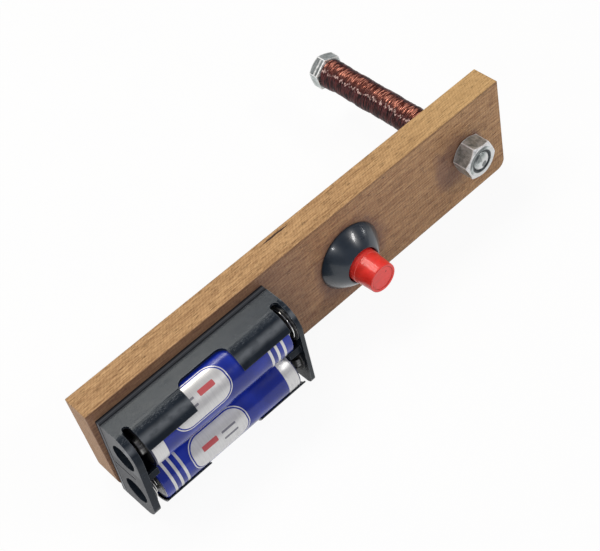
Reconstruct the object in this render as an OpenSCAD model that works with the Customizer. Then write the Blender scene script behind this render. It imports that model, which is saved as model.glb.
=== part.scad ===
// Classroom electromagnet model: a bolt wound with wire through one end of a wooden bar,
// a push-to-make button in the middle and a holder with two round cells at the other end.
// The bar stands on its long narrow edge. X runs along the bar from the holder to the magnet,
// Y from the front face through the bar to the bolt head, Z up. Sizes are in millimetres.

/* [Wooden bar] */
// Length of the bar
bar_len = 155; // [140:1:200]
// Height of the bar as it stands on its edge
bar_height = 34.7; // [32:0.1:50]
// Thickness of the bar
bar_thick = 9; // [8:0.5:11]
// Radius of the lower corner beside the holder
bar_corner_holder = 5; // [1:0.5:8]
// Radius of the lower corner beside the magnet
bar_corner_magnet = 3; // [1:0.5:8]

/* [Electromagnet] */
// Thread diameter of the bolt
bolt_dia = 6.3; // [5:0.1:6.6]
// Distance from the bolt's axis to the end of the bar
bolt_inset = 15.3; // [10:0.1:25]
// Height of the bolt's axis above the lower edge
bolt_height = 17.65; // [12:0.05:20]
// Length of the bolt under its head
bolt_len = 66; // [50:1:90]
// How far the bolt's tip stands out of the front nut
bolt_tip_proud = 0.1; // [0:0.1:3]
// Width across the flats of the nuts
nut_width = 10.9; // [10:0.1:13]
// Width across the flats of the bolt head
head_width = 10.4; // [10:0.1:13]
// Height of the bolt head
head_height = 4; // [3:0.1:6]
// Height of one nut
nut_height = 6.3; // [4:0.1:7]
// Diameter over the winding
coil_dia = 9.6; // [9.2:0.1:13]
// Diameter of the wire in the outer layer of turns
wire_dia = 1.2; // [0.8:0.1:1.2]
// Number of turns in the outer layer
coil_turn_count = 24; // [8:1:24]
// How far the winding swells beside the bolt head
coil_flare = 0.3; // [0:0.1:0.8]

/* [Push button] */
// Distance from the button's axis to the end of the bar beside the holder
button_x = 90.2; // [80:0.5:110]
// Height of the button's axis above the lower edge
button_height = 15.8; // [12.5:0.1:20]
// Diameter of the domed collar
collar_dia = 21.7; // [20:0.1:24]
// How far the domed collar stands out of the bar
collar_depth = 6.1; // [4:0.1:9]
// Diameter of the button where it enters the collar
button_dia = 10.3; // [9:0.1:10.8]
// Diameter of the button at its tip
button_tip_dia = 9.3; // [7:0.1:10.2]
// How far the button's tip stands out of the bar
button_depth = 13.9; // [11:0.1:18]
// How far the button travels
button_travel = 2.2; // [1:0.1:3]
// Diameter of the threaded barrel behind the collar
barrel_dia = 14.4; // [13.8:0.1:16]

/* [Battery holder] */
// Gap between the end of the bar and the holder
holder_inset = 1.9; // [0:0.1:10]
// Room along each bay for the contacts and the spring at the ends of its cell
end_room = 3.9; // [3.7:0.1:5]
// How far the end plates stand out of the bar
plate_depth = 14.9; // [13:0.1:17]
// Thickness of the end plates
plate_thick = 2.2; // [1.2:0.1:2.4]
// Angle that the spring beside the lower cell has pushed its end plate outwards
plate_lean = 5.3; // [0:0.1:7]
// Radius of the end plates' upper outer corner
plate_radius_top = 7.5; // [2:0.1:10]
// Radius of the end plates' lower outer corner
plate_radius_low = 3.5; // [1:0.1:10]
// Thickness of the holder's floor
floor_thick = 1.6; // [1.2:0.1:3]
// Thickness of the side walls and their clips
wall_thick = 0.9; // [0.7:0.1:1.6]
// Angle that each clip curls over its cell
clip_angle = 58; // [40:1:70]
// Diameter of the holes in the end plates
plate_hole_dia = 8.4; // [5:0.1:9]
// Width of the finger notch in each side wall
notch_width = 16.4; // [10:0.1:22]

/* [Cells] */
// Diameter of a cell
cell_dia = 14.2; // [13.6:0.1:14.4]
// Length of a cell without its positive cap
cell_len = 48.5; // [47:0.1:49]
// Height of the positive cap
cap_height = 1.2; // [0.8:0.1:1.6]
// Gap between the two cells
cell_gap = 0.6; // [0.6:0.1:1.8]
// Pressed length of the contact spring behind the lower cell
lower_spring_len = 1.6; // [1.6:0.1:2]
// Pressed length of the contact spring behind the upper cell
upper_spring_len = 2; // [1.6:0.1:2.2]

/* [Hidden] */
$fn = 64;

// Clearances and the overrun that every cut shares
overrun = 1;
thread_clear = 0.03;
seat_clear = 0.05;
slide_clear = 0.1;
hole_clear = 0.2;
mouth_clear = 0.35;

// Colours
wood_tan = [0.68, 0.50, 0.32];
zinc = [0.74, 0.75, 0.74];
copper = [0.48, 0.20, 0.15];
black_gloss = [0.15, 0.18, 0.22];
black_matt = [0.17, 0.18, 0.20];
button_red = [0.86, 0.22, 0.19];
nickel = [0.80, 0.80, 0.78];
brass_yellow = [0.78, 0.62, 0.30];
base_brown = [0.42, 0.27, 0.16];
cell_blue = [0.12, 0.16, 0.60];
seal_black = [0.10, 0.10, 0.10];

// Magnet: places along Y
bolt_x = bar_len - bolt_inset;
bolt_tip_y = -(nut_height + bolt_tip_proud);
head_y = bolt_tip_y + bolt_len;
magnet_end_y = head_y + head_height;
coil_start_y = bar_thick + nut_height;
coil_len = head_y - coil_start_y;
core_dia = coil_dia - 2 * wire_dia - 2 * seat_clear;
coil_flare_share = 0.14;
nut_angle = 10;
head_angle = 20;
hex_chamfer_angle = 30;
hex_face_share = 0.95;
bolt_tip_chamfer = 0.6;
nut_countersink = 0.35;

// Switch: places along Y, from the collar's mouth to the terminals' tips
collar_rim = 0.5;
collar_bulge = 1.14;
mouth_dia = button_dia + 2 * mouth_clear;
mouth_round = 0.45;
mouth_steps = 4;
dome_steps = 12;
flange_thick = 1.2;
shoulder_y = -1.6;
barrel_wall = 1;
barrel_bore = barrel_dia - 2 * barrel_wall;
flange_dia = barrel_bore - 2 * slide_clear;
barrel_proud = 4;
barrel_end_y = bar_thick + barrel_proud;
switch_nut_height = 2.4;
switch_nut_wall = 1.8;
switch_nut_width = barrel_dia + 2 * switch_nut_wall;
base_thick = 2.4;
base_y = barrel_end_y - base_thick;
stem_dia = 3;
pin_dia = 1.6;
pin_len = 0.7;
contact_dia = 6;
contact_thick = 0.4;
strip_thick = 0.5;
strip_width = 2.2;
pad_drop = 1.4;
pad_y = base_y - pad_drop;
contact_y = pad_y - button_travel - seat_clear - contact_thick;
strip_offset = 2.6;
lug_len = 6;
lug_hole_dia = 1.2;
button_dish_depth = 0.2;
button_dish_inset = 0.55;
button_edge = 0.3;
button_ring = 1.3;
cup_side = 1.55;
cup_dia = button_dia - 2 * cup_side;
cup_wall = 1.6;
button_spring_turns = 5;
button_spring_wire = 0.45;
spring_clear = 0.6;
button_spring_dia = barrel_bore - 2 * spring_clear;

// Holder: places in the bar's frame
cell_clear = 0.1;
bore_r = cell_dia / 2 + cell_clear;
cell_pitch = cell_dia + cell_gap;
clip_r = bore_r + wall_thick;
clip_taper = 0.5;
holder_width = cell_pitch + 2 * clip_r;
cell_axis_y = -(floor_thick + bore_r);
lower_axis_z = clip_r;
upper_axis_z = clip_r + cell_pitch;
middle_z = clip_r + cell_pitch / 2;
holder_len = 2 * plate_thick + cell_len + cap_height + end_room;
bay_x0 = holder_inset + plate_thick;
bay_x1 = holder_inset + holder_len - plate_thick;
bay_len = bay_x1 - bay_x0;
link_thick = 0.3;
root_depth = floor_thick / 2;
root_len = plate_thick / 2;
slot_width = 2.7;
low_slot_width = 1.4;
low_notch_extra = 1.9;
slot_start_y = -7.1;
notch_start_y = -7;
notch_radius = 2.5;
notch_shift = 0.3;
ridge_height = 3.2;
gusset_len = 3.3;
gusset_width = 2.6;
gusset_depth = 13.6;
gusset_root = root_len + (gusset_depth - floor_thick) / 2 * tan(plate_lean);
slit_width = 0.5;
slit_start_y = -2.5;
slit_end_y = -11.2;
screw_pitch = 29;
screw_head_dia = 5.4;
screw_dia = 2.6;
screw_len = 8;
screw_head_height = 1.4;
screw_well = 0.4;
screw_tip = 1.6;
screw_slot_width = 0.7;
screw_slot_depth = 0.5;

// Contacts
tag_lap = 0.4;
cap_tag_dia = plate_hole_dia + 2 * tag_lap;
link_width = 5;
tongue_width = 2.4;
tongue_proud = 1.8;
tongue_hole_dia = 1;
leaf_width = 3;
leaf_r = 3.7;
contact_wire = 0.4;
contact_spring_turns = 2.5;
contact_spring_inset = 1.6;
contact_spring_base_dia = cell_dia - 2 * contact_spring_inset;
contact_spring_top_dia = 6;
spring_tag_dia = contact_spring_base_dia + contact_wire;

// Cells
jacket_thick = 0.2;
lip_width = 0.9;
lip_round = 0.5;
cap_dia = 5.5;
cap_round = 0.4;
cap_flange_dia = 9.6;
cap_flange_thick = 0.3;
seal_thick = 0.9;
lower_base_x = bay_x0 + link_thick + lower_spring_len;
upper_base_x = bay_x1 - link_thick - upper_spring_len;
lower_cap_x = lower_base_x + cell_len + cap_height;
upper_cap_x = upper_base_x - cell_len - cap_height;
cell_front_y = cell_axis_y - cell_dia / 2;

// Tubes: rings in a loop of the winding, in a spring's curl and in an end bend
loop_rings = 24;
curl_rings = 8;
bend_rings = 4;
tube_sides = 6;

// The origin lies at the middle of the whole object's box, on the surface that it stands on
origin_x = bar_len / 2;
origin_y = (cell_front_y + magnet_end_y) / 2;

module place() { translate([-origin_x, -origin_y, 0]) children(); }

// Stands a shape modelled along +Z at a point, pointing along +Y
module along_y(x, y, z) { translate([x, y, z]) rotate([-90, 0, 0]) children(); }

// Extrudes an outline drawn in Y and Z along +X
module along_x(x, len) { translate([x, 0, 0]) rotate([90, 0, 90]) linear_extrude(len) children(); }

// Stands a shape modelled along +Z at a point, pointing along +X
module point_x(x, y, z) { translate([x, y, z]) rotate([0, 90, 0]) children(); }

// Points on an arc in a plane, from one angle to another
function arc(cx, cy, rx, ry, from, to, steps) =
    [for (i = [0:steps]) let (a = from + (to - from) * i / steps) [cx + rx * cos(a), cy + ry * sin(a)]];

function unit(v) = v / norm(v);

// Eases from 0 to 1 as t goes from 0 to 1, flat at both ends
function ease(t) = let (c = max(0, min(1, t))) c * c * (3 - 2 * c);

// Radius of the winding at a share t of its length: it swells beside the bolt head
function coil_swell(t) = coil_flare * ease((t - 1 + coil_flare_share) / coil_flare_share);

// Path of a coil round +Z with a straight end at each side, square to what it meets.
// radii holds one radius for each ring of the helix.
function coil_path(radii, turns, len, bend, lead) = let (
    last = len(radii) - 1,
    turn_end = 360 * turns,
    run = len - 2 * (bend + lead),
    side = [-sin(turn_end), cos(turn_end), 0],
    tip = [radii[last] * cos(turn_end), radii[last] * sin(turn_end), len - bend - lead])
    concat(
        [[radii[0], -bend, 0]],
        [for (i = [0:bend_rings - 1]) let (a = 90 * i / bend_rings)
            [radii[0], -bend * cos(a), lead + bend * sin(a)]],
        [for (i = [0:last]) let (a = turn_end * i / last)
            [radii[i] * cos(a), radii[i] * sin(a), lead + bend + run * i / last]],
        [for (i = [1:bend_rings]) let (a = 90 * i / bend_rings)
            tip + side * bend * sin(a) + [0, 0, bend * (1 - cos(a))]],
        [tip + side * bend + [0, 0, bend + lead]]);

// Directions along a path, and a side vector carried along it without twist
function headings(p) = [for (i = [0:len(p) - 1]) unit(p[min(i + 1, len(p) - 1)] - p[max(i - 1, 0)])];
function carried(side, heading) = unit(side - heading * (side * heading));

// One closed tube along a path
module tube(path, dia) {
    heads = headings(path);
    sides = [for (i = 0, s = carried([1, 0, 0], heads[0]); i < len(path);
        i = i + 1, s = carried(s, heads[min(i, len(path) - 1)])) s];
    rings = [for (i = [0:len(path) - 1]) for (k = [0:tube_sides - 1])
        let (a = 360 * k / tube_sides, up = cross(heads[i], sides[i]))
        path[i] + dia / 2 * (cos(a) * sides[i] + sin(a) * up)];
    last = (len(path) - 1) * tube_sides;
    skin = [for (i = [0:len(path) - 2]) for (k = [0:tube_sides - 1])
        let (a = i * tube_sides + k, b = i * tube_sides + (k + 1) % tube_sides)
        each [[a, b + tube_sides, b], [a, a + tube_sides, b + tube_sides]]];
    caps = [for (k = [1:tube_sides - 2]) each [[0, k, k + 1], [last, last + k + 1, last + k]]];
    polyhedron(rings, concat(skin, caps));
}

// Least gap between the surface of a tube and itself, measured on its points
function least_gap(path, dia, apart, reach) = min([for (i = [0:len(path) - 1 - apart])
    for (j = [i + apart:min(len(path) - 1, i + reach)]) norm(path[i] - path[j])]) - dia;

// Hexagon prism along +Z with the corners chamfered at one or both faces
module hexagon(width, height, turn, low_chamfer, top_chamfer) {
    corner_r = width / 2 / cos(30);
    face_r = width / 2 * hex_face_share;
    far_r = corner_r + overrun;
    drop = (far_r - face_r) * tan(hex_chamfer_angle);
    intersection() {
        rotate(turn) cylinder(h = height, r = corner_r, $fn = 6);
        rotate_extrude() polygon(concat(
            [[0, 0]],
            low_chamfer ? [[face_r, 0], [far_r, drop]] : [[far_r, 0]],
            top_chamfer ? [[far_r, height - drop], [face_r, height]] : [[far_r, height]],
            [[0, height]]));
    }
}

// Wooden bar: rounded at its lower corners, bored for the bolt, the switch and the screws
module wooden_bar() color(wood_tan) difference() {
    translate([0, bar_thick, 0]) rotate([90, 0, 0]) linear_extrude(bar_thick) difference() {
        square([bar_len, bar_height]);
        corner_cut(bar_corner_holder);
        translate([bar_len, 0]) mirror([1, 0]) corner_cut(bar_corner_magnet);
    }
    along_y(bolt_x, -overrun, bolt_height)
        cylinder(h = bar_thick + 2 * overrun, d = bolt_dia + 2 * hole_clear);
    along_y(button_x, -overrun, button_height)
        cylinder(h = bar_thick + 2 * overrun, d = barrel_dia + 2 * hole_clear);
    for (x = screw_places()) along_y(x, 0, middle_z) screw_shape(thread_clear);
}

// What a square corner at the origin loses to a round of radius r
module corner_cut(r) {
    difference() {
        translate([-overrun, -overrun]) square([r + overrun, r + overrun]);
        translate([r, r]) circle(r = r);
    }
}

// Bolt: hexagon head behind the winding, shank through the bar, chamfered tip
module magnet_bolt() color(zinc) along_y(bolt_x, bolt_tip_y, bolt_height) {
    rotate_extrude() polygon([
        [0, 0], [bolt_dia / 2 - bolt_tip_chamfer, 0], [bolt_dia / 2, bolt_tip_chamfer],
        [bolt_dia / 2, bolt_len], [0, bolt_len]]);
    translate([0, 0, bolt_len]) hexagon(head_width, head_height, head_angle, false, true);
}

// Two equal nuts that clamp the bar, one on each face
module bolt_nuts() color(zinc) {
    for (y = [-nut_height, bar_thick]) along_y(bolt_x, y, bolt_height) difference() {
        hexagon(nut_width, nut_height, nut_angle, true, true);
        thread_r = bolt_dia / 2 + thread_clear;
        mouth_r = thread_r + nut_countersink + overrun;
        rotate_extrude() polygon([
            [0, -overrun], [mouth_r, -overrun], [thread_r, nut_countersink],
            [thread_r, nut_height - nut_countersink], [mouth_r, nut_height + overrun],
            [0, nut_height + overrun]]);
    }
}

// Inner layers of the winding as one body, which swells beside the bolt head
module coil_core() color(copper) along_y(bolt_x, coil_start_y, bolt_height) {
    inner_r = bolt_dia / 2 + thread_clear;
    rotate_extrude() polygon(concat(
        [[inner_r, 0]],
        [for (i = [0:loop_rings]) let (t = i / loop_rings)
            [core_dia / 2 + coil_swell(t), coil_len * t]],
        [[inner_r, coil_len]]));
}

// Outer layer of the winding: one unbroken wire
coil_rings = loop_rings * coil_turn_count;
coil_wire_path = coil_path(
    [for (i = [0:coil_rings]) core_dia / 2 + seat_clear + wire_dia / 2 + coil_swell(i / coil_rings)],
    coil_turn_count, coil_len, wire_dia, wire_dia);
module coil_turns() color(copper) along_y(bolt_x, coil_start_y, bolt_height)
    tube(coil_wire_path, wire_dia);

// Domed collar, its flank only slightly bulged, and threaded barrel of the switch, one moulding
module switch_collar() color(black_gloss) along_y(button_x, 0, button_height) rotate_extrude() {
    dome_r = collar_dia / 2;
    bore_r_mouth = mouth_dia / 2;
    crown_r = bore_r_mouth + mouth_round;
    polygon(concat(
        [[barrel_dia / 2, barrel_end_y], [barrel_dia / 2, 0], [dome_r, 0]],
        [for (p = arc(0, 0, 1, 1, 0, 90, dome_steps)) [
            crown_r + (dome_r - crown_r) * pow(max(0, p[0]), 2 / collar_bulge),
            -collar_rim - (collar_depth - collar_rim) * pow(max(0, p[1]), 2 / collar_bulge)]],
        [for (p = arc(0, 0, 1, 1, 90, 180, mouth_steps))
            [crown_r + mouth_round * p[0], -collar_depth + mouth_round * (1 - p[1])]],
        [[bore_r_mouth, shoulder_y], [barrel_bore / 2, shoulder_y], [barrel_bore / 2, barrel_end_y]]));
}

// Thin nut that pulls the collar against the bar from behind
module switch_nut() color(black_matt) along_y(button_x, bar_thick, button_height) difference() {
    hexagon(switch_nut_width, switch_nut_height, 0, false, true);
    translate([0, 0, -overrun])
        cylinder(h = switch_nut_height + 2 * overrun, d = barrel_dia + 2 * thread_clear);
}

// Red button: tapered tip with a shallow dish, straight ring and guide, flange behind the collar, stem
flange_y = shoulder_y + seat_clear;
skirt_y = flange_y + flange_thick;
module push_button() color(button_red) along_y(button_x, 0, button_height) rotate_extrude() {
    dish_r = button_tip_dia / 2 - button_dish_inset;
    tip_r = button_tip_dia / 2;
    cup_y = -collar_depth - cup_wall + button_travel;
    polygon([
        [0, -button_depth + button_dish_depth],
        [dish_r - button_dish_depth, -button_depth + button_dish_depth],
        [dish_r, -button_depth],
        [tip_r - button_edge, -button_depth],
        [tip_r, -button_depth + button_edge],
        [button_dia / 2, -collar_depth - button_ring],
        [button_dia / 2, flange_y],
        [flange_dia / 2, flange_y],
        [flange_dia / 2, skirt_y],
        [cup_dia / 2, skirt_y],
        [cup_dia / 2, cup_y],
        [stem_dia / 2, cup_y],
        [stem_dia / 2, contact_y],
        [pin_dia / 2, contact_y],
        [pin_dia / 2, contact_y + pin_len],
        [0, contact_y + pin_len]]);
}

// Spring that returns the button, between its flange and the switch base
button_spring_path = let (
    rings = curl_rings * button_spring_turns,
    run = base_y - skirt_y - 2 * seat_clear,
    mean_r = (button_spring_dia - button_spring_wire) / 2)
    coil_path([for (i = [0:rings]) mean_r], button_spring_turns, run,
        button_spring_wire, button_spring_wire);
module button_spring() color(nickel)
    along_y(button_x, skirt_y + seat_clear, button_height) tube(button_spring_path, button_spring_wire);

// Brass disc on the button's stem that bridges the two terminals
module moving_contact() color(brass_yellow)
    along_y(button_x, contact_y, button_height) difference() {
        cylinder(h = contact_thick, d = contact_dia);
        translate([0, 0, -overrun])
            cylinder(h = contact_thick + 2 * overrun, d = pin_dia + 2 * thread_clear);
    }

// One terminal of the switch in X and Y: a pad in the barrel, a strip through the base, a lug
module terminal_outline() {
    pad_len = strip_offset + strip_thick - pin_dia / 2 - mouth_clear;
    translate([strip_offset, pad_y]) square([strip_thick, barrel_end_y + lug_len - pad_y]);
    translate([strip_offset + strip_thick - pad_len, pad_y]) square([pad_len, strip_thick]);
}

module switch_terminals() color(brass_yellow) for (side = [0, 1])
    translate([button_x, 0, button_height]) mirror([side, 0, 0]) difference() {
        translate([0, 0, -strip_width / 2]) linear_extrude(strip_width) terminal_outline();
        point_x(strip_offset - overrun, barrel_end_y + lug_len - strip_width / 2, 0)
            cylinder(h = strip_thick + 2 * overrun, d = lug_hole_dia);
    }

// Insulating disc that closes the barrel and holds the terminals
module switch_base() color(base_brown) difference() {
    along_y(button_x, base_y, button_height) cylinder(h = base_thick, d = barrel_bore - 2 * seat_clear);
    for (side = [-1, 1]) translate([button_x + side * (strip_offset + strip_thick / 2), 0, button_height])
        translate([-strip_thick / 2 - seat_clear, base_y - overrun, -strip_width / 2 - seat_clear])
            cube([strip_thick + 2 * seat_clear, base_thick + 2 * overrun, strip_width + 2 * seat_clear]);
}

// Mirrors what is drawn for the upper half of the holder onto the lower half as well
module both_halves() {
    children();
    translate([0, 2 * middle_z]) mirror([0, 1]) children();
}

// Side wall of the holder in Y and Z: flat from the bar, then curled over the cell
module wall_outline() {
    translate([cell_axis_y + clip_taper, upper_axis_z + bore_r])
        square([-cell_axis_y - clip_taper, wall_thick]);
    translate([cell_axis_y, upper_axis_z]) {
        clip_ring();
        rotate(clip_angle) translate([0, bore_r + lip_thick / 2]) circle(d = lip_thick);
    }
}

// The part of the clip's ring between the top of the cell and the lip. It thins towards the lip,
// because the centre of its outer face lies nearer to the floor than the cell's axis.
lip_thick = sqrt(pow(clip_r, 2) - pow(clip_taper * cos(clip_angle), 2))
    - clip_taper * sin(clip_angle) - bore_r;
module clip_ring() intersection() {
    difference() {
        translate([clip_taper, 0]) circle(r = clip_r);
        circle(r = bore_r);
        square([clip_taper, bore_r]);
    }
    reach = 2 * clip_r;
    polygon([[0, 0], [clip_taper, 0], [clip_taper, reach],
        [-reach * sin(clip_angle / 2), reach * cos(clip_angle / 2)],
        [-reach * sin(clip_angle), reach * cos(clip_angle)]]);
}

// Slot beside the left end plate in X and Y, with a round end
module end_slot(width, far_y) translate([bay_x0, 0]) {
    translate([width / 2, slot_start_y - width / 2]) circle(d = width);
    translate([-root_len, far_y]) square([width + root_len, slot_start_y - width / 2 - far_y]);
}

// Finger notch and end slots of one side wall, cut down through it
module wall_cuts(left_slot, notch_extra) {
    width = notch_width + notch_extra;
    notch_x = (bay_x0 + bay_x1 - notch_width) / 2 + notch_shift - notch_extra;
    far_y = -plate_depth - overrun - wall_thick;
    translate([notch_x, far_y]) difference() {
        square([width, notch_start_y - far_y]);
        translate([0, notch_start_y - far_y]) mirror([0, 1]) corner_cut(notch_radius);
        translate([width, notch_start_y - far_y]) rotate(180) corner_cut(notch_radius);
    }
    end_slot(left_slot, far_y);
    translate([bay_x0 + bay_x1, 0]) mirror([1, 0]) end_slot(slot_width, far_y);
}

module holder_walls() difference() {
    along_x(bay_x0 - root_len, bay_len + 2 * root_len) both_halves() wall_outline();
    translate([0, 0, -overrun]) linear_extrude(middle_z + overrun)
        wall_cuts(low_slot_width, low_notch_extra);
    translate([0, 0, middle_z]) linear_extrude(middle_z + overrun) wall_cuts(slot_width, 0);
}

// End plate in Y and Z, rooted in the floor, with a hole behind each cell and a slit between them
module plate_outline() difference() {
    translate([-plate_depth, 0]) square([plate_depth - root_depth, holder_width]);
    translate([-plate_depth, 0]) corner_cut(plate_radius_low);
    translate([-plate_depth, holder_width]) mirror([0, 1]) corner_cut(plate_radius_top);
    both_halves() translate([cell_axis_y, upper_axis_z]) circle(d = plate_hole_dia);
    translate([slit_end_y, middle_z - slit_width / 2]) square([slit_start_y - slit_end_y, slit_width]);
}

// Turns what is drawn upright so that it leans outwards with the left end plate
module leaning() translate([bay_x0, -floor_thick, 0]) rotate(-plate_lean)
    translate([-bay_x0, floor_thick, 0]) children();

// Low ridge along the floor between the cells, and the gusset that braces each end plate
module between_cells(depth, width) difference() {
    translate([-depth, middle_z - width / 2]) square([depth - root_depth, width]);
    both_halves() translate([cell_axis_y, upper_axis_z]) circle(r = bore_r);
}

function screw_places() = [for (side = [-1, 1]) (bay_x0 + bay_x1) / 2 + side * screw_pitch / 2];

// Countersunk screw seen as its hole: well, head and shank, with a pointed tip
module screw_shape(gap) translate([0, 0, -floor_thick + screw_well]) rotate_extrude()
    polygon([
        [0, 0], [screw_head_dia / 2 + gap, 0], [screw_dia / 2 + gap, screw_head_height + gap],
        [screw_dia / 2 + gap, screw_len - screw_tip], [0, screw_len + gap]]);

// Moulded holder: floor, two side walls with clips, end plates, ridge and gussets
module battery_holder() color(black_matt) difference() {
    union() {
        along_x(holder_inset, holder_len) translate([-floor_thick, 0]) square([floor_thick, holder_width]);
        holder_walls();
        leaning() along_x(holder_inset, plate_thick) plate_outline();
        along_x(bay_x1, plate_thick) plate_outline();
        along_x(bay_x0 - root_len, bay_len + 2 * root_len)
            between_cells(floor_thick + ridge_height, cell_pitch - cell_dia / 2);
        along_x(bay_x0 - gusset_root, gusset_root + gusset_len) between_cells(gusset_depth, gusset_width);
        along_x(bay_x1 - gusset_len, gusset_len + root_len) between_cells(gusset_depth, gusset_width);
    }
    for (x = screw_places()) {
        along_y(x, 0, middle_z) screw_shape(seat_clear);
        along_y(x, -plate_depth, middle_z)
            cylinder(h = plate_depth - floor_thick + screw_well, d = screw_head_dia + 2 * hole_clear);
    }
    leaning() translate([bay_x0, cell_axis_y - link_width / 2 - seat_clear, middle_z - gusset_width])
        cube([link_thick + seat_clear, link_width + 2 * seat_clear, 2 * gusset_width]);
}

// Two countersunk wood screws that fix the holder, under the gap between the cells
module holder_screws() color(zinc) for (x = screw_places()) along_y(x, 0, middle_z) difference() {
    screw_shape(0);
    translate([-screw_head_dia / 2 - overrun, -screw_slot_width / 2, -floor_thick + screw_well - overrun])
        cube([screw_head_dia + 2 * overrun, screw_slot_width, screw_slot_depth + overrun]);
}

// Contact plate in Y and Z: a disc behind one cell
module contact_disc(axis_z, dia) translate([cell_axis_y, axis_z]) circle(d = dia);

// Bowed strip along Z whose crest lies on the axis at a distance leaf_r
module leaf() translate([0, 0, -leaf_width / 2]) difference() {
    cylinder(h = leaf_width, r = leaf_r);
    translate([0, 0, -overrun]) cylinder(h = leaf_width + 2 * overrun, r = leaf_r - link_thick);
}

// Leaning sheet that joins the cells in series: a disc under the lower spring, a leaf at the upper cap
module series_link() color(nickel) {
    leaning() along_x(bay_x0, link_thick) {
        contact_disc(upper_axis_z, cap_tag_dia);
        contact_disc(lower_axis_z, spring_tag_dia);
        translate([cell_axis_y - link_width / 2, lower_axis_z]) square([link_width, cell_pitch]);
    }
    intersection() {
        translate([upper_cap_x - seat_clear - leaf_r, cell_axis_y, upper_axis_z]) leaf();
        leaning() translate([bay_x0 + link_thick / 2, -plate_depth, upper_axis_z - leaf_width])
            cube([2 * leaf_r, plate_depth, 2 * leaf_width]);
    }
}

// Solder tongue that passes out through the hole in the end plate
module tongue(axis_z) difference() {
    tongue_len = plate_thick + tongue_proud;
    translate([bay_x1 - seat_clear, cell_axis_y - link_thick / 2, axis_z - tongue_width / 2])
        cube([tongue_len + seat_clear, link_thick, tongue_width]);
    along_y(bay_x1 + tongue_len - tongue_width / 2, cell_axis_y - link_thick / 2 - overrun, axis_z)
        cylinder(h = link_thick + 2 * overrun, d = tongue_hole_dia);
}

// Plate and tongue behind the upper cell's spring
module negative_terminal() color(nickel) {
    along_x(bay_x1 - link_thick, link_thick) contact_disc(upper_axis_z, spring_tag_dia);
    tongue(upper_axis_z);
}

// Plate, leaf and tongue that meet the lower cell's cap
module positive_terminal() color(nickel) {
    along_x(bay_x1 - link_thick, link_thick) contact_disc(lower_axis_z, cap_tag_dia);
    intersection() {
        translate([lower_cap_x + seat_clear + leaf_r, cell_axis_y, lower_axis_z]) leaf();
        translate([bay_x1 - link_thick / 2 - 2 * leaf_r, -plate_depth, lower_axis_z - leaf_width])
            cube([2 * leaf_r, plate_depth, 2 * leaf_width]);
    }
    tongue(lower_axis_z);
}

// Conical contact spring along +Z, wide at its plate and narrow at the cell
function contact_spring_path(len) = let (rings = round(curl_rings * contact_spring_turns))
    coil_path([for (i = [0:rings]) (contact_spring_base_dia + (contact_spring_top_dia
        - contact_spring_base_dia) * i / rings - contact_wire) / 2],
        contact_spring_turns, len - 2 * seat_clear, contact_wire / 2 + seat_clear, contact_wire);

// The lower spring's wide end leans with its plate
lower_spring_path = [for (p = contact_spring_path(lower_spring_len))
    [p[0], p[1], p[2] - (1 - p[2] / (lower_spring_len - 2 * seat_clear)) * tan(plate_lean)
        * (-cell_axis_y - floor_thick - p[1])]];
module lower_cell_spring() color(nickel)
    point_x(bay_x0 + link_thick + seat_clear, cell_axis_y, lower_axis_z)
        tube(lower_spring_path, contact_wire);

module upper_cell_spring() color(nickel)
    translate([bay_x1 - link_thick - seat_clear, cell_axis_y, upper_axis_z]) rotate([0, -90, 0])
        tube(contact_spring_path(upper_spring_len), contact_wire);

// A cell stands along +Z from its negative base at the origin
module at_lower_cell() point_x(lower_base_x, cell_axis_y, lower_axis_z) children();
module at_upper_cell() translate([upper_base_x, cell_axis_y, upper_axis_z]) rotate([0, -90, 0]) children();

// Printed jacket with its ends rolled inwards over the can and the seal
module cell_jacket() rotate_extrude() {
    outer_r = cell_dia / 2;
    inner_r = outer_r - jacket_thick;
    lip_r = outer_r - lip_width;
    polygon(concat(
        [[lip_r, 0]],
        arc(outer_r - lip_round, lip_round, lip_round, lip_round, -90, 0, mouth_steps),
        arc(outer_r - lip_round, cell_len - lip_round, lip_round, lip_round, 0, 90, mouth_steps),
        [[lip_r, cell_len], [lip_r, cell_len - jacket_thick],
            [inner_r - lip_round, cell_len - jacket_thick],
            [inner_r, cell_len - jacket_thick - lip_round], [inner_r, jacket_thick + lip_round],
            [inner_r - lip_round, jacket_thick], [lip_r, jacket_thick]]));
}

// Sealed can inside the jacket, its base showing inside the lower lip
module cell_can() rotate_extrude() {
    can_r = cell_dia / 2 - jacket_thick - seat_clear;
    lip_r = cell_dia / 2 - lip_width - seat_clear;
    low = jacket_thick + seat_clear;
    polygon([
        [0, 0], [lip_r, 0], [lip_r, low], [can_r - lip_round, low], [can_r, low + lip_round],
        [can_r, cell_len - seal_thick - cap_flange_thick - seat_clear],
        [0, cell_len - seal_thick - cap_flange_thick - seat_clear]]);
}

// Positive cap: a flange under the seal and a round-edged button
module cell_cap() rotate_extrude() {
    flange_z = cell_len - seal_thick - cap_flange_thick;
    tip_z = cell_len + cap_height;
    polygon(concat(
        [[0, flange_z], [cap_flange_dia / 2, flange_z], [cap_flange_dia / 2, flange_z + cap_flange_thick],
            [cap_dia / 2, flange_z + cap_flange_thick]],
        arc(cap_dia / 2 - cap_round, tip_z - cap_round, cap_round, cap_round, 0, 90, mouth_steps),
        [[0, tip_z]]));
}

// Black seal washer round the cap, held under the jacket's lip
module cell_seal() difference() {
    seal_r = cell_dia / 2 - jacket_thick - lip_round;
    seal_low = cell_len - seal_thick + seat_clear;
    translate([0, 0, seal_low]) cylinder(h = seal_thick - jacket_thick - 2 * seat_clear, r = seal_r);
    translate([0, 0, seal_low - overrun])
        cylinder(h = seal_thick + 2 * overrun, d = cap_dia + 2 * seat_clear);
}

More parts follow.
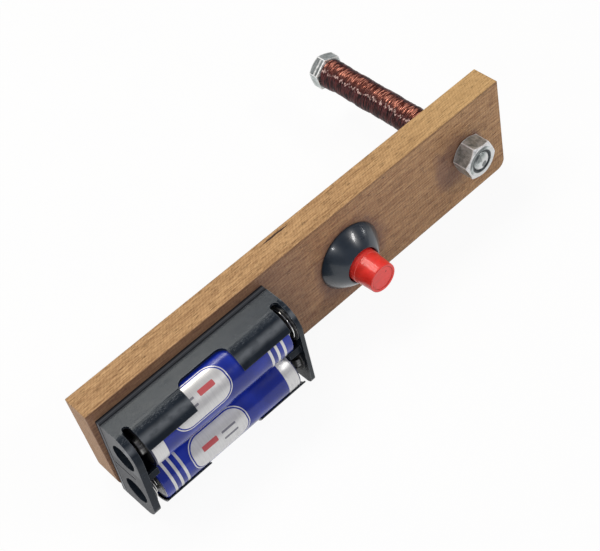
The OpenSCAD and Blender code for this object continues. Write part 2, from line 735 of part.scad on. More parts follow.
module upper_cell_can() color(nickel) at_upper_cell() cell_can();
module upper_cell_jacket() color(cell_blue) at_upper_cell() cell_jacket();
module upper_cell_cap() color(nickel) at_upper_cell() cell_cap();
module upper_cell_seal() color(seal_black) at_upper_cell() cell_seal();
module lower_cell_can() color(nickel) at_lower_cell() cell_can();
module lower_cell_jacket() color(cell_blue) at_lower_cell() cell_jacket();
module lower_cell_cap() color(nickel) at_lower_cell() cell_cap();
module lower_cell_seal() color(seal_black) at_lower_cell() cell_seal();

echo(coil_gap = least_gap(coil_wire_path, wire_dia, loop_rings / 2, 2 * loop_rings));
echo(button_spring_gap = least_gap(button_spring_path, button_spring_wire, curl_rings, 3 * curl_rings));
echo(lower_spring_gap = least_gap(lower_spring_path, contact_wire, curl_rings, 3 * curl_rings));
echo(upper_spring_gap = least_gap(contact_spring_path(upper_spring_len), contact_wire, curl_rings,
    3 * curl_rings));

place() wooden_bar();
place() magnet_bolt();
place() bolt_nuts();
place() coil_core();
place() coil_turns();
place() switch_collar();
place() switch_nut();
place() push_button();
place() button_spring();
place() moving_contact();
place() switch_terminals();
place() switch_base();
place() battery_holder();
place() holder_screws();
place() series_link();
place() negative_terminal();
place() positive_terminal();
place() upper_cell_spring();
place() lower_cell_spring();
place() upper_cell_can();
place() upper_cell_jacket();
place() upper_cell_cap();
place() upper_cell_seal();
place() lower_cell_can();
place() lower_cell_jacket();
place() lower_cell_cap();
place() lower_cell_seal();
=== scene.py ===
"""Classroom electromagnet model: the dressed pieces, their finishes and the studio around them.

Sizes inside the classes are millimetres in the board's own frame: X along the bar from the
holder to the magnet, Y from the front face through the bar, Z up. They become metres in the
shared frame only where a mesh is made.
"""

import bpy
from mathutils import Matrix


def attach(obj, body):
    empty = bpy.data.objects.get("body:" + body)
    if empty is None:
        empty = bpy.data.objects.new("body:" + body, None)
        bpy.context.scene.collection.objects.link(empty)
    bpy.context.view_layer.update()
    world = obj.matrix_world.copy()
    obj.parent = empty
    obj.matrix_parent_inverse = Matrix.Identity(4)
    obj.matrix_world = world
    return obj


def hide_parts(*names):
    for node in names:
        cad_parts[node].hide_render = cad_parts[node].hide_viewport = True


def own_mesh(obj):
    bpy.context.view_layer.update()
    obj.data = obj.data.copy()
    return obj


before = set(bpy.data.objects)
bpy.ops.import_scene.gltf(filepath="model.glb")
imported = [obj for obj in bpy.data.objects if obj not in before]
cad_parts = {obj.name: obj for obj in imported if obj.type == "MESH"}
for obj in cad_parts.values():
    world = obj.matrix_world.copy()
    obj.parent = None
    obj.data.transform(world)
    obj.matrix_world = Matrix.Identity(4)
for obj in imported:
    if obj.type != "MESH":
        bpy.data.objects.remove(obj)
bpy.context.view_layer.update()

import logging
import math
from dataclasses import dataclass
from enum import Enum
from functools import reduce
from typing import Callable, Iterable, Optional, Sequence

import bpy
from mathutils import Matrix, Vector, noise

LOG = logging.getLogger("electromagnet")
MM = 0.001
MERGED = 0.002
BOARD_ORIGIN = Vector((77.5, 23.85, 0.0))
BOARD = "board"
BUTTON = "button"
CELL_AXIS_Y = -8.8
LOWER_AXIS_Z = 8.1
UPPER_AXIS_Z = 22.9
CELL_RADIUS = 7.1
CELL_LENGTH = 48.5
FOIL_BAND = 4.4
PLATE_EDGE_Y = -14.9
MAGNET_X = 139.7
MAGNET_Z = 17.65
SWITCH_X = 90.2
SWITCH_Z = 15.8

Point = Sequence[float]
Colour = tuple[float, float, float]
Profile = list[tuple[float, float]]
Paint = tuple[Optional["Signal"], float, dict[str, object]]


class Axis(Enum):
    """The two directions that turned pieces of this model stand along."""

    BAR = (Vector((1, 0, 0)), Vector((0, -1, 0)))
    THROUGH = (Vector((0, 1, 0)), Vector((1, 0, 0)))


def metres(point: Point) -> Vector:
    """Turn a point of the board, in millimetres, into the shared frame in metres.

    Args:
        point: X, Y and Z in the board's own frame.

    Returns:
        The same place in the shared frame.
    """
    return (Vector(point) - BOARD_ORIGIN) * MM


def arc(cx: float, cy: float, radius: float, start: float, end: float, steps: int) -> Profile:
    """List points on an arc of a profile.

    Args:
        cx: First coordinate of the centre.
        cy: Second coordinate of the centre.
        radius: Radius of the arc.
        start: First angle in degrees.
        end: Last angle in degrees.
        steps: Number of steps between the two.

    Returns:
        The points, both ends included.
    """
    angles = [math.radians(start + (end - start) * i / steps) for i in range(steps + 1)]
    return [(cx + radius * math.cos(a), cy + radius * math.sin(a)) for a in angles]


def coil(turns: float, rings: int, place: Callable[[float, float], Point]) -> list[Vector]:
    """List the points of a coiled wire.

    Args:
        turns: Number of turns.
        rings: Number of steps along the whole wire.
        place: Gives the point for a share of the wire and the angle reached there.

    Returns:
        The points, both ends included.
    """
    return [Vector(place(i / rings, 2 * math.pi * turns * i / rings)) for i in range(rings + 1)]


class Workshop:
    """Bench steps that every piece shares: turning, copying a solid, easing edges, bending wire."""

    @staticmethod
    def clear() -> None:
        """Let go of everything that is selected."""
        if bpy.context.object is not None and bpy.context.object.mode != "OBJECT":
            bpy.ops.object.mode_set(mode="OBJECT")
        bpy.ops.object.select_all(action="DESELECT")

    @classmethod
    def pick(cls, obj: bpy.types.Object) -> None:
        """Select one object alone and make it active.

        Args:
            obj: The object.
        """
        cls.clear()
        obj.select_set(True)
        bpy.context.view_layer.objects.active = obj

    @classmethod
    def turned(cls, name: str, profile: Profile, centre: Point, axis: Axis,
               steps: int = 96) -> bpy.types.Object:
        """Turn a profile round an axis, as on a lathe.

        Args:
            name: Name of the piece.
            profile: Radius and distance along the axis of each point, in millimetres.
            centre: Point of the board on the axis, from which the distances count.
            axis: Direction of the axis.
            steps: Number of facets round the piece.

        Returns:
            The turned piece.
        """
        along, out = axis.value
        start = metres(centre)
        places = [start + (along * height + out * radius) * MM for radius, height in profile]
        cls.clear()
        bpy.ops.mesh.primitive_plane_add(size=MM, location=(0, 0, 0))
        piece = bpy.context.object
        piece.name = piece.data.name = name
        bpy.ops.object.mode_set(mode="EDIT")
        bpy.ops.mesh.select_all(action="SELECT")
        bpy.ops.mesh.merge(type="CENTER")
        bpy.ops.transform.translate(value=places[0])
        for here, there in zip(places, places[1:]):
            bpy.ops.mesh.extrude_region_move(TRANSFORM_OT_translate={"value": there - here})
        bpy.ops.mesh.select_all(action="SELECT")
        bpy.ops.mesh.spin(steps=steps, angle=2 * math.pi, center=start, axis=along)
        cls.close(30)
        return piece

    @staticmethod
    def close(crease: float) -> None:
        """Join the doubled points of the mesh in hand, turn its faces outwards and shade it smooth.

        Args:
            crease: Angle in degrees above which an edge stays sharp.
        """
        bpy.ops.mesh.select_all(action="SELECT")
        bpy.ops.mesh.remove_doubles(threshold=MERGED * MM)
        bpy.ops.mesh.normals_make_consistent(inside=False)
        bpy.ops.object.mode_set(mode="OBJECT")
        bpy.ops.object.shade_smooth_by_angle(angle=math.radians(crease))

    @classmethod
    def from_solid(cls, name: str, node: str) -> bpy.types.Object:
        """Copy a CAD solid, join its loose triangles and clear the lines inside its flat faces.

        Args:
            name: Name of the new piece.
            node: CAD node to copy.

        Returns:
            The copy, with its own mesh.
        """
        piece = bpy.data.objects.new(name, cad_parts[node].data.copy())
        piece.data.name = name
        piece.data.materials.clear()
        bpy.context.scene.collection.objects.link(piece)
        cls.pick(piece)
        bpy.ops.object.mode_set(mode="EDIT")
        bpy.ops.mesh.select_all(action="SELECT")
        bpy.ops.mesh.remove_doubles(threshold=MERGED * MM)
        bpy.ops.mesh.dissolve_limited(angle_limit=math.radians(0.6))
        bpy.ops.object.mode_set(mode="OBJECT")
        return piece

    @classmethod
    def ease(cls, piece: bpy.types.Object, width: float, segments: int = 2, sharp: float = 32.0) -> None:
        """Round the sharp edges of a piece and shade it smooth.

        Args:
            piece: The piece to work on.
            width: Width of the rounding in millimetres.
            segments: Facets across the rounding.
            sharp: Angle in degrees above which an edge is rounded.
        """
        cls.pick(piece)
        bpy.ops.object.modifier_add(type="BEVEL")
        bevel = piece.modifiers[-1]
        bevel.width = width * MM
        bevel.segments = segments
        bevel.limit_method = "ANGLE"
        bevel.angle_limit = math.radians(sharp)
        bevel.miter_outer = "MITER_ARC"
        bevel.harden_normals = True
        bpy.ops.object.shade_smooth_by_angle(angle=math.radians(sharp))
        bpy.ops.object.modifier_apply(modifier=bevel.name)

    @classmethod
    def wire(cls, name: str, path: Sequence[Vector], diameter: float, sides: int) -> bpy.types.Object:
        """Bend a round wire along a path.

        Args:
            name: Name of the piece.
            path: Points of the wire's middle, in the board's frame in millimetres.
            diameter: Diameter of the wire in millimetres.
            sides: Facets round the wire, a multiple of four.

        Returns:
            The wire as a closed mesh.
        """
        data = bpy.data.curves.new(name, "CURVE")
        data.dimensions = "3D"
        line = data.splines.new("POLY")
        line.points.add(len(path) - 1)
        for knot, place in zip(line.points, path):
            knot.co = (*metres(place), 1.0)
        data.bevel_depth = diameter / 2 * MM
        data.bevel_resolution = max(0, sides // 4 - 1) * 2 + (1 if sides > 4 else 0)
        data.use_fill_caps = True
        piece = bpy.data.objects.new(name, data)
        bpy.context.scene.collection.objects.link(piece)
        cls.pick(piece)
        bpy.ops.object.convert(target="MESH")
        piece = bpy.context.object
        piece.data.name = name
        bpy.ops.object.mode_set(mode="EDIT")
        cls.close(60)
        return piece

    @staticmethod
    def fit(piece: bpy.types.Object, material: bpy.types.Material, slot: str, body: str, node: str) -> None:
        """Dress a finished piece and tie it to the body that it moves with.

        Args:
            piece: The finished piece.
            material: Its finish.
            slot: Name of a material slot; not used.
            body: Body that carries the piece.
            node: CAD node that the piece stands for.
        """
        piece.data.materials.clear()
        piece.data.materials.append(material)
        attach(piece, body)
        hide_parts(node)
        LOG.info("%s: %d faces, %s, replaces %s", piece.name, len(piece.data.polygons), material.name, node)

    @staticmethod
    def dress(node: str, material: bpy.types.Material) -> None:
        """Give a CAD node that stays visible a better finish.

        Args:
            node: The CAD node.
            material: Its finish.
        """
        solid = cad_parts[node]
        solid.data.materials.clear()
        solid.data.materials.append(material)
        LOG.info("%s: carried over, %s", node, material.name)


def join(target: bpy.types.NodeSocket, value: object) -> None:
    """Link a signal to an input, or write a value on it, a colour getting its alpha.

    Args:
        target: The input.
        value: A signal, a number, a vector or a colour.
    """
    if isinstance(value, Signal):
        target.id_data.links.new(value.socket, target)
    elif isinstance(value, tuple) and target.type == "RGBA":
        target.default_value = (*value, 1.0)
    else:
        target.default_value = value


class Signal:
    """Output of a node on which further nodes are written like sums on a number."""

    def __init__(self, socket: bpy.types.NodeSocket) -> None:
        """Hold a socket."""
        self.socket = socket

    def maths(self, operation: str, *others: object) -> "Signal":
        """Do one sum that starts with this value."""
        return Patch(self.socket.id_data).add(
            "ShaderNodeMath", dict(enumerate((self, *others))), operation=operation)

    def __add__(self, other: object) -> "Signal":
        """Add a value."""
        return self.maths("ADD", other)

    def __sub__(self, other: object) -> "Signal":
        """Take a value away."""
        return self.maths("SUBTRACT", other)

    def __rsub__(self, other: float) -> "Signal":
        """Take this away from a number."""
        return self.maths("MULTIPLY_ADD", -1.0, other)

    def __mul__(self, other: object) -> "Signal":
        """Multiply by a value."""
        return self.maths("MULTIPLY", other)

    def __or__(self, other: object) -> "Signal":
        """Keep the larger of two masks."""
        return self.maths("MAXIMUM", other)

    def __abs__(self) -> "Signal":
        """Drop the sign."""
        return self.maths("ABSOLUTE")

    def held(self) -> "Signal":
        """Hold the sum that made this value between zero and one."""
        self.socket.node.use_clamp = True
        return self

    def ramp(self, low: float, high: float, to_low: float = 0.0, to_high: float = 1.0,
             smooth: bool = True) -> "Signal":
        """Map a range of the value onto another, held at both ends.

        Args:
            low: Value that gives the first result.
            high: Value that gives the second result.
            to_low: First result.
            to_high: Second result.
            smooth: Whether it eases in and out.

        Returns:
            The mapped value.
        """
        return Patch(self.socket.id_data).add("ShaderNodeMapRange", {
            "Value": self, "From Min": low, "From Max": high, "To Min": to_low, "To Max": to_high},
            interpolation_type="SMOOTHSTEP" if smooth else "LINEAR")

    def band(self, middle: object, far: float, near: float, strength: float = 1.0) -> "Signal":
        """Mask of a strip round a value: none beyond the far distance, full within the near one."""
        return abs(self - middle).ramp(far, near, 0.0, strength)

    def blend(self, base: object, other: object) -> "Signal":
        """Mix two colours, this value being the second one's share."""
        return Patch(self.socket.id_data).add(
            "ShaderNodeMix", {0: self, 6: base, 7: other}, 2, data_type="RGBA")


def reach(a: Signal, b: Signal) -> Signal:
    """Give the length that two parts at right angles add up to."""
    return (a.maths("POWER", 2.0) + b.maths("POWER", 2.0)).maths("SQRT")


def most(masks: Iterable[Signal]) -> Signal:
    """Keep the largest of several masks at each place."""
    return reduce(Signal.__or__, masks)


class Effect(Enum):
    """Effects that several finishes share, by the name of their node group."""

    WEAR = "edge_wear"
    DUST = "dust"
    SCRATCHES = "scratches"


class Patch:
    """Nodes of one tree, added and wired by short calls."""

    def __init__(self, tree: bpy.types.NodeTree) -> None:
        """Work on a node tree."""
        self.tree = tree

    def node(self, kind: str, inputs: Optional[dict] = None, **settings: object) -> bpy.types.Node:
        """Add a node.

        Args:
            kind: Type of the node.
            inputs: Values or signals for its inputs, by name or number.
            settings: Properties of the node itself.

        Returns:
            The node.
        """
        node = self.tree.nodes.new(kind)
        for key, value in settings.items():
            setattr(node, key, value)
        for key, value in (inputs or {}).items():
            join(node.inputs[key], value)
        return node

    def add(self, kind: str, inputs: Optional[dict] = None, output: object = 0, **settings: object) -> Signal:
        """Add a node and give one of its outputs."""
        return Signal(self.node(kind, inputs, **settings).outputs[output])

    def split(self, vector: Signal) -> list[Signal]:
        """Give the three parts of a vector."""
        return [Signal(part) for part in self.node("ShaderNodeSeparateXYZ", {0: vector}).outputs]

    def place(self, origin: Point = (0.0, 0.0, 0.0), stretch: Point = (1.0, 1.0, 1.0)) -> Signal:
        """Give the surface's place on the board in millimetres.

        Args:
            origin: Point of the board that becomes zero.
            stretch: Factor on each coordinate; below one draws a pattern out.

        Returns:
            A vector.
        """
        here = self.add("ShaderNodeTexCoord", output="Object")
        moved = self.add("ShaderNodeVectorMath", {0: here, 1: metres(origin)}, operation="SUBTRACT")
        scale = [factor / MM for factor in stretch]
        return self.add("ShaderNodeVectorMath", {0: moved, 1: scale}, operation="MULTIPLY")

    def axes(self, origin: Point = (0.0, 0.0, 0.0)) -> list[Signal]:
        """Give the place's three coordinates one by one."""
        return self.split(self.place(origin))

    def along_normal(self) -> Signal:
        """Give how far the surface faces along the bar, in the object's own space."""
        return self.split(self.add("ShaderNodeTexCoord", output="Normal"))[0]

    def speckle(self, vector: Signal, scale: float, detail: float = 3.0,
                roughness: float = 0.5, distortion: float = 0.0) -> Signal:
        """Give noise between zero and one at a scale per millimetre.

        Args:
            vector: Place in millimetres.
            scale: Features per millimetre.
            detail: Octaves.
            roughness: Strength of the finer octaves.
            distortion: How far the pattern is warped.

        Returns:
            The noise.
        """
        return self.add("ShaderNodeTexNoise", {
            "Vector": vector, "Scale": scale, "Detail": detail, "Roughness": roughness,
            "Distortion": distortion}, "Fac")

    def drawn(self, stretch: Point, detail: float = 3.0, roughness: float = 0.5,
              distortion: float = 0.0, origin: Point = (0.0, 0.0, 0.0)) -> Signal:
        """Give noise that is drawn out along the coordinates with a small factor."""
        return self.speckle(self.place(origin, stretch), 1.0, detail, roughness, distortion)

    def wander(self, vector: Signal, scale: float, detail: float, roughness: float, width: float) -> Signal:
        """Give noise about zero, its whole range as wide as told."""
        return (self.speckle(vector, scale, detail, roughness) - 0.5) * width

    def use(self, effect: Effect, vector: Signal, **values: float) -> Signal:
        """Give a shared effect's mask, made with a finish's own values.

        Args:
            effect: The effect.
            vector: Place in millimetres.
            values: Its inputs by name.

        Returns:
            The mask.
        """
        group = bpy.data.node_groups[effect.value]
        return self.add("ShaderNodeGroup", {"Vector": vector, **values}, "Mask", node_tree=group)


class SharedEffects:
    """Builder of the node groups that several finishes use, each putting out a mask."""

    def build(self) -> None:
        """Build every group once."""
        self._edge_wear()
        self._dust()
        self._scratches()

    @staticmethod
    def _group(effect: Effect, **inputs: float) -> tuple[Patch, dict[str, Signal]]:
        """Start a node group.

        Args:
            effect: The effect that it makes.
            inputs: Number that each input beside the vector starts with.

        Returns:
            The group's patch and what comes in, by name.
        """
        tree = bpy.data.node_groups.new(effect.value, "ShaderNodeTree")
        tree.interface.new_socket("Vector", in_out="INPUT", socket_type="NodeSocketVector")
        for label, value in inputs.items():
            tree.interface.new_socket(label, in_out="INPUT", socket_type="NodeSocketFloat").default_value = value
        tree.interface.new_socket("Mask", in_out="OUTPUT", socket_type="NodeSocketFloat")
        patch = Patch(tree)
        source = patch.node("NodeGroupInput").outputs
        return patch, {label: Signal(source[label]) for label in ("Vector", *inputs)}

    def _edge_wear(self) -> None:
        """Mask that is one along worn edges: the bevelled normal departs from the true one there."""
        patch, given = self._group(Effect.WEAR, Width=0.3, Breaks=1.0)
        rounded = patch.add("ShaderNodeBevel", {"Radius": given["Width"] * MM}, samples=4)
        likeness = patch.add("ShaderNodeVectorMath", {
            0: patch.add("ShaderNodeNewGeometry", output="Normal"), 1: rounded}, "Value", operation="DOT_PRODUCT")
        breaks = patch.speckle(given["Vector"], 1.3, 4.0, 0.6).ramp(0.35, 0.62)
        kept = breaks * given["Breaks"] + (1.0 - given["Breaks"])
        patch.node("NodeGroupOutput", {"Mask": (likeness.ramp(0.995, 0.9) * kept).held()})

    def _dust(self) -> None:
        """Mask of fine pale specks that lie on faces that look up."""
        patch, given = self._group(Effect.DUST, Amount=0.3, Size=1.0)
        up = patch.split(patch.add("ShaderNodeNewGeometry", output="Normal"))[2]
        rarer = patch.add("ShaderNodeMath", {0: 2.6, 1: given["Size"]}, operation="DIVIDE")
        cells = patch.add("ShaderNodeTexVoronoi", {"Vector": given["Vector"], "Scale": rarer}, "Distance", feature="F1")
        clouds = patch.speckle(given["Vector"], 0.28, 5.0, 0.62).ramp(0.42, 0.68)
        both = (cells.ramp(0.2, 0.05) * clouds + clouds * 0.3).held()
        patch.node("NodeGroupOutput", {"Mask": (both * up.ramp(-0.2, 0.9, 0.25, 1.0) * given["Amount"]).held()})

    def _scratches(self) -> None:
        """Mask of fine scratches that run two ways, zero where the surface is whole."""
        patch, given = self._group(Effect.SCRATCHES, Density=1.0)
        lines = []
        for turn, stretch in ((0.5, 14.0), (-0.9, 9.0)):
            turned = patch.add("ShaderNodeMapping", {
                "Vector": given["Vector"], "Rotation": (0.3, turn, turn * 0.7), "Scale": (0.1, stretch, 1.0)})
            lines.append(patch.speckle(turned, 0.45, 2.0, 0.5).ramp(0.66, 0.74))
        patch.node("NodeGroupOutput", {"Mask": (most(lines) * given["Density"]).held()})


class Finish:
    """Base of all finishes: makes the material and holds the steps that they share."""

    name = "finish"

    def make(self) -> bpy.types.Material:
        """Make the material.

        Returns:
            The finished material.
        """
        material = bpy.data.materials.new(self.name)
        material.use_nodes = True
        material.node_tree.nodes.clear()
        patch = Patch(material.node_tree)
        height, depth, looks = self.paint(patch)
        if height is not None:
            looks["Normal"] = patch.add("ShaderNodeBump", {
                "Strength": 1.0, "Distance": depth * MM, "Height": height})
        inputs = {label.replace("_", " "): value for label, value in looks.items()}
        patch.node("ShaderNodeOutputMaterial", {"Surface": patch.add("ShaderNodeBsdfPrincipled", inputs)})
        return material

    def paint(self, patch: Patch) -> Paint:
        """Give the relief and what goes into the shader."""
        raise NotImplementedError


@dataclass(frozen=True)
class PlanedWood(Finish):
    """Light hardwood, planed but unvarnished, its grain along the bar."""

    name: str = "planed_wood"
    pale: Colour = (0.62, 0.365, 0.168)
    dark: Colour = (0.27, 0.128, 0.055)
    fleck: Colour = (0.74, 0.50, 0.26)
    pore: Colour = (0.13, 0.06, 0.028)
    # Darker rubbed edges, and painted shade along the front's top edge.
    rubbed_and_painted_light: Colour = (0.22, 0.11, 0.05)
    end_grain: Colour = (0.25, 0.13, 0.06)
    # Painted shadow, with some staining, on the front round the nut, the button and the holder.
    shadow_and_stain: Colour = (0.150, 0.072, 0.060)
    # Warm tint over the whole top face: painted light.
    top_light_tint: Colour = (0.40, 0.235, 0.065)
    # Lighter top towards the magnet end: painted light.
    sunlit: Colour = (0.95, 0.66, 0.27)
    # Darker front face, most at the holder end: painted shade.
    front_shade: Colour = (0.185, 0.098, 0.098)
    crack: Colour = (0.045, 0.017, 0.006)
    bar_height: float = 34.7
    split: tuple[float, float, float] = (72.9, 7.65, 6.6)
    # Spots of painted shadow with some staining: along the bar, height, outer and inner radius.
    shadow_and_stain_spots: tuple[tuple[float, float, float, float], ...] = (
        (134.8, 17.8, 11.5, 6.5), (139.4, 17.2, 8.4, 6.2), (90.6, 14.6, 16.0, 10.5))

    def paint(self, patch: Patch) -> Paint:
        """Bands, fine lines and pores along the grain, saw marks across it, darker rubbed edges, painted shadows with
        some staining and painted shade on the front, painted light on the top.

        Args:
            patch: Builder of the material's nodes.

        Returns:
            The relief's height, its depth in millimetres, and the Principled shader's values.
        """
        near = patch.place()
        bands = patch.drawn((0.014, 0.34, 0.34), distortion=0.5)
        lines = patch.drawn((0.06, 1.7, 1.7), 4.0, 0.62, 0.2)
        fibres = patch.drawn((0.28, 3.0, 3.0), 3.0, 0.62)
        pores = patch.drawn((0.34, 3.4, 3.4), 2.0).ramp(0.58, 0.70)
        flecks = patch.drawn((0.5, 3.0, 3.0), 2.0, 0.45, origin=(13.0, 0.0, 0.0)).ramp(0.60, 0.72)
        saw = patch.add("ShaderNodeTexWave", {
            "Vector": patch.add("ShaderNodeMapping", {"Vector": near, "Rotation": (0, 0, 0.62)}),
            "Scale": 0.36, "Distortion": 1.4, "Detail": 2.0, "Detail Scale": 1.2}, "Fac")
        tone = bands.ramp(0.3, 0.7) * 0.28 + lines.ramp(0.3, 0.7) * 0.62
        tone = (tone + (fibres - 0.46) * 2.6 + (saw - 0.5) * 0.14).held()
        along, across, up = patch.split(near)
        top = up.ramp(self.bar_height - 0.5, self.bar_height - 0.1)
        front = across.ramp(0.3, 0.1)
        colour = tone.blend(self.dark, self.pale)
        for share, other in (
                (flecks * 0.4, self.fleck), (pores * 0.6, self.pore),
                (patch.use(Effect.WEAR, near, Width=0.55, Breaks=0.8) * 0.65, self.rubbed_and_painted_light),
                (abs(patch.along_normal()).ramp(0.8, 0.97) * 0.55, self.end_grain),
                # Painted light: a warm tint on the top face.
                # Painted shadow, with some staining, on the front.
                (self._shadowed_and_stained(patch, along, up) * front * 0.62, self.shadow_and_stain), (top * 0.16, self.top_light_tint),
                # Painted light: the top grows lighter towards the magnet end.
                (along.ramp(92.0, 150.0, 0.03, 0.24) * top, self.sunlit),
                # Painted shade: the front face darker, most at the holder end.
                (front * along.ramp(70.0, 150.0, 0.22, 0.05), self.front_shade),
                # Painted shade: a dark line along the front's top edge.
                (front * up.ramp(self.bar_height - 0.9, self.bar_height - 0.4, 0.0, 0.55), self.rubbed_and_painted_light),
                (top * self._cracked(patch, along, across), self.crack)):
            colour = share.blend(colour, other)
        return fibres * 0.5 - pores * 0.9 + saw * 0.4, 0.10, dict(
            Base_Color=colour, Roughness=tone.ramp(0.0, 1.0, 0.62, 0.50), Specular_IOR_Level=0.35)

    def _cracked(self, patch: Patch, along: Signal, across: Signal) -> Signal:
        """Give the mask of the short split that follows the grain near the top's back edge.

        Args:
            patch: Builder of the material's nodes.
            along: Place along the bar.
            across: Place through the bar.

        Returns:
            The mask, one where it is at its fullest.
        """
        middle, depth, half = self.split
        bent = patch.wander(patch.place(), 0.5, 2.0, 0.5, 0.5)
        width = along.band(middle, half, half * 0.2, 0.38)
        return (width - abs(across - (bent + depth))).ramp(0.0, 0.10)

    def _shadowed_and_stained(self, patch: Patch, along: Signal, up: Signal) -> Signal:
        """Give the mask of the front's painted shadows, with some staining, round the nut, at the button and beside the
        holder.

        Args:
            patch: Builder of the material's nodes.
            along: Place along the bar.
            up: Height above its lower edge.

        Returns:
            The mask, one where it is at its fullest.
        """
        # Painted shadow with some staining: round spots, and a band that deepens towards the holder.
        ragged = patch.wander(patch.place(), 0.22, 3.0, 0.6, 9.0)
        spots = [(reach(along - x, up - z) + ragged).ramp(far, near) for x, z, far, near in self.shadow_and_stain_spots]
        return most(spots) | (along + ragged).ramp(84.0, 58.0, 0.0, 0.62)


@dataclass(frozen=True)
class PlatedSteel(Finish):
    """Bright zinc on steel: turned or rolled streaks, dull patches, edges rubbed bright and painted with highlights."""

    name: str = "plated_steel"
    bright: Colour = (0.70, 0.72, 0.71)
    dull: Colour = (0.36, 0.38, 0.39)
    shining: Colour = (0.86, 0.86, 0.84)
    # Bright edges: wear and painted highlights.
    worn_and_highlight: Colour = (0.95, 0.95, 0.93)
    # Colour of rubbed places and of painted highlights.
    polish_and_highlight: Colour = (0.97, 0.98, 0.97)
    # Dark colour of grime and of painted shade.
    grime_and_shade_colour: Colour = (0.05, 0.05, 0.05)
    roughness: float = 0.33
    streak: tuple[float, float, float] = (0.5, 0.5, 9.0)
    edge: float = 0.9
    metallic: float = 0.9

    def paint(self, patch: Patch) -> Paint:
        """Streaks and clouds in colour and roughness, bright broken edges that are wear and painted highlights, then a
        subclass's grime, painted shade and painted highlights.

        Args:
            patch: Builder of the material's nodes.

        Returns:
            The relief's height, its depth in millimetres, and the Principled shader's values.
        """
        near = patch.place()
        streaks = patch.drawn(self.streak)
        clouds = patch.speckle(near, 0.42, 4.0, 0.62, 0.4).ramp(0.36, 0.66)
        scratches = patch.use(Effect.SCRATCHES, near, Density=0.5)
        wear = patch.use(Effect.WEAR, near, Width=0.35, Breaks=0.45)
        colour = streaks.ramp(0.35, 0.7, 0.0, 0.4).blend(clouds.blend(self.dull, self.bright), self.shining)
        # Bright edges: wear and painted highlights.
        colour = (wear * self.edge).blend(colour, self.worn_and_highlight)
        grime_and_shade, rubbed_and_painted_light = self.grime_and_shade(patch), self.rubbed_and_painted_light(patch)
        # Grime and painted shade that a subclass gives.
        if grime_and_shade is not None:
            colour = grime_and_shade.blend(colour, self.grime_and_shade_colour)
        # Rubbed edges and painted highlights that a subclass gives.
        if rubbed_and_painted_light is not None:
            colour = rubbed_and_painted_light.blend(colour, self.polish_and_highlight)
            wear = wear | rubbed_and_painted_light
        rough = ((streaks - 0.5) * 0.25 + self.roughness + scratches * 0.12).held()
        return streaks * 0.5 + scratches, 0.008, dict(
            Base_Color=colour, Roughness=rough, Metallic=self.metallic - wear * (0.6 * self.edge))

    def grime_and_shade(self, patch: Patch) -> Optional[Signal]:
        """Give the mask of grime and painted shade."""
        return None

    def rubbed_and_painted_light(self, patch: Patch) -> Optional[Signal]:
        """Give the mask of places rubbed bright and of painted highlights."""
        return None


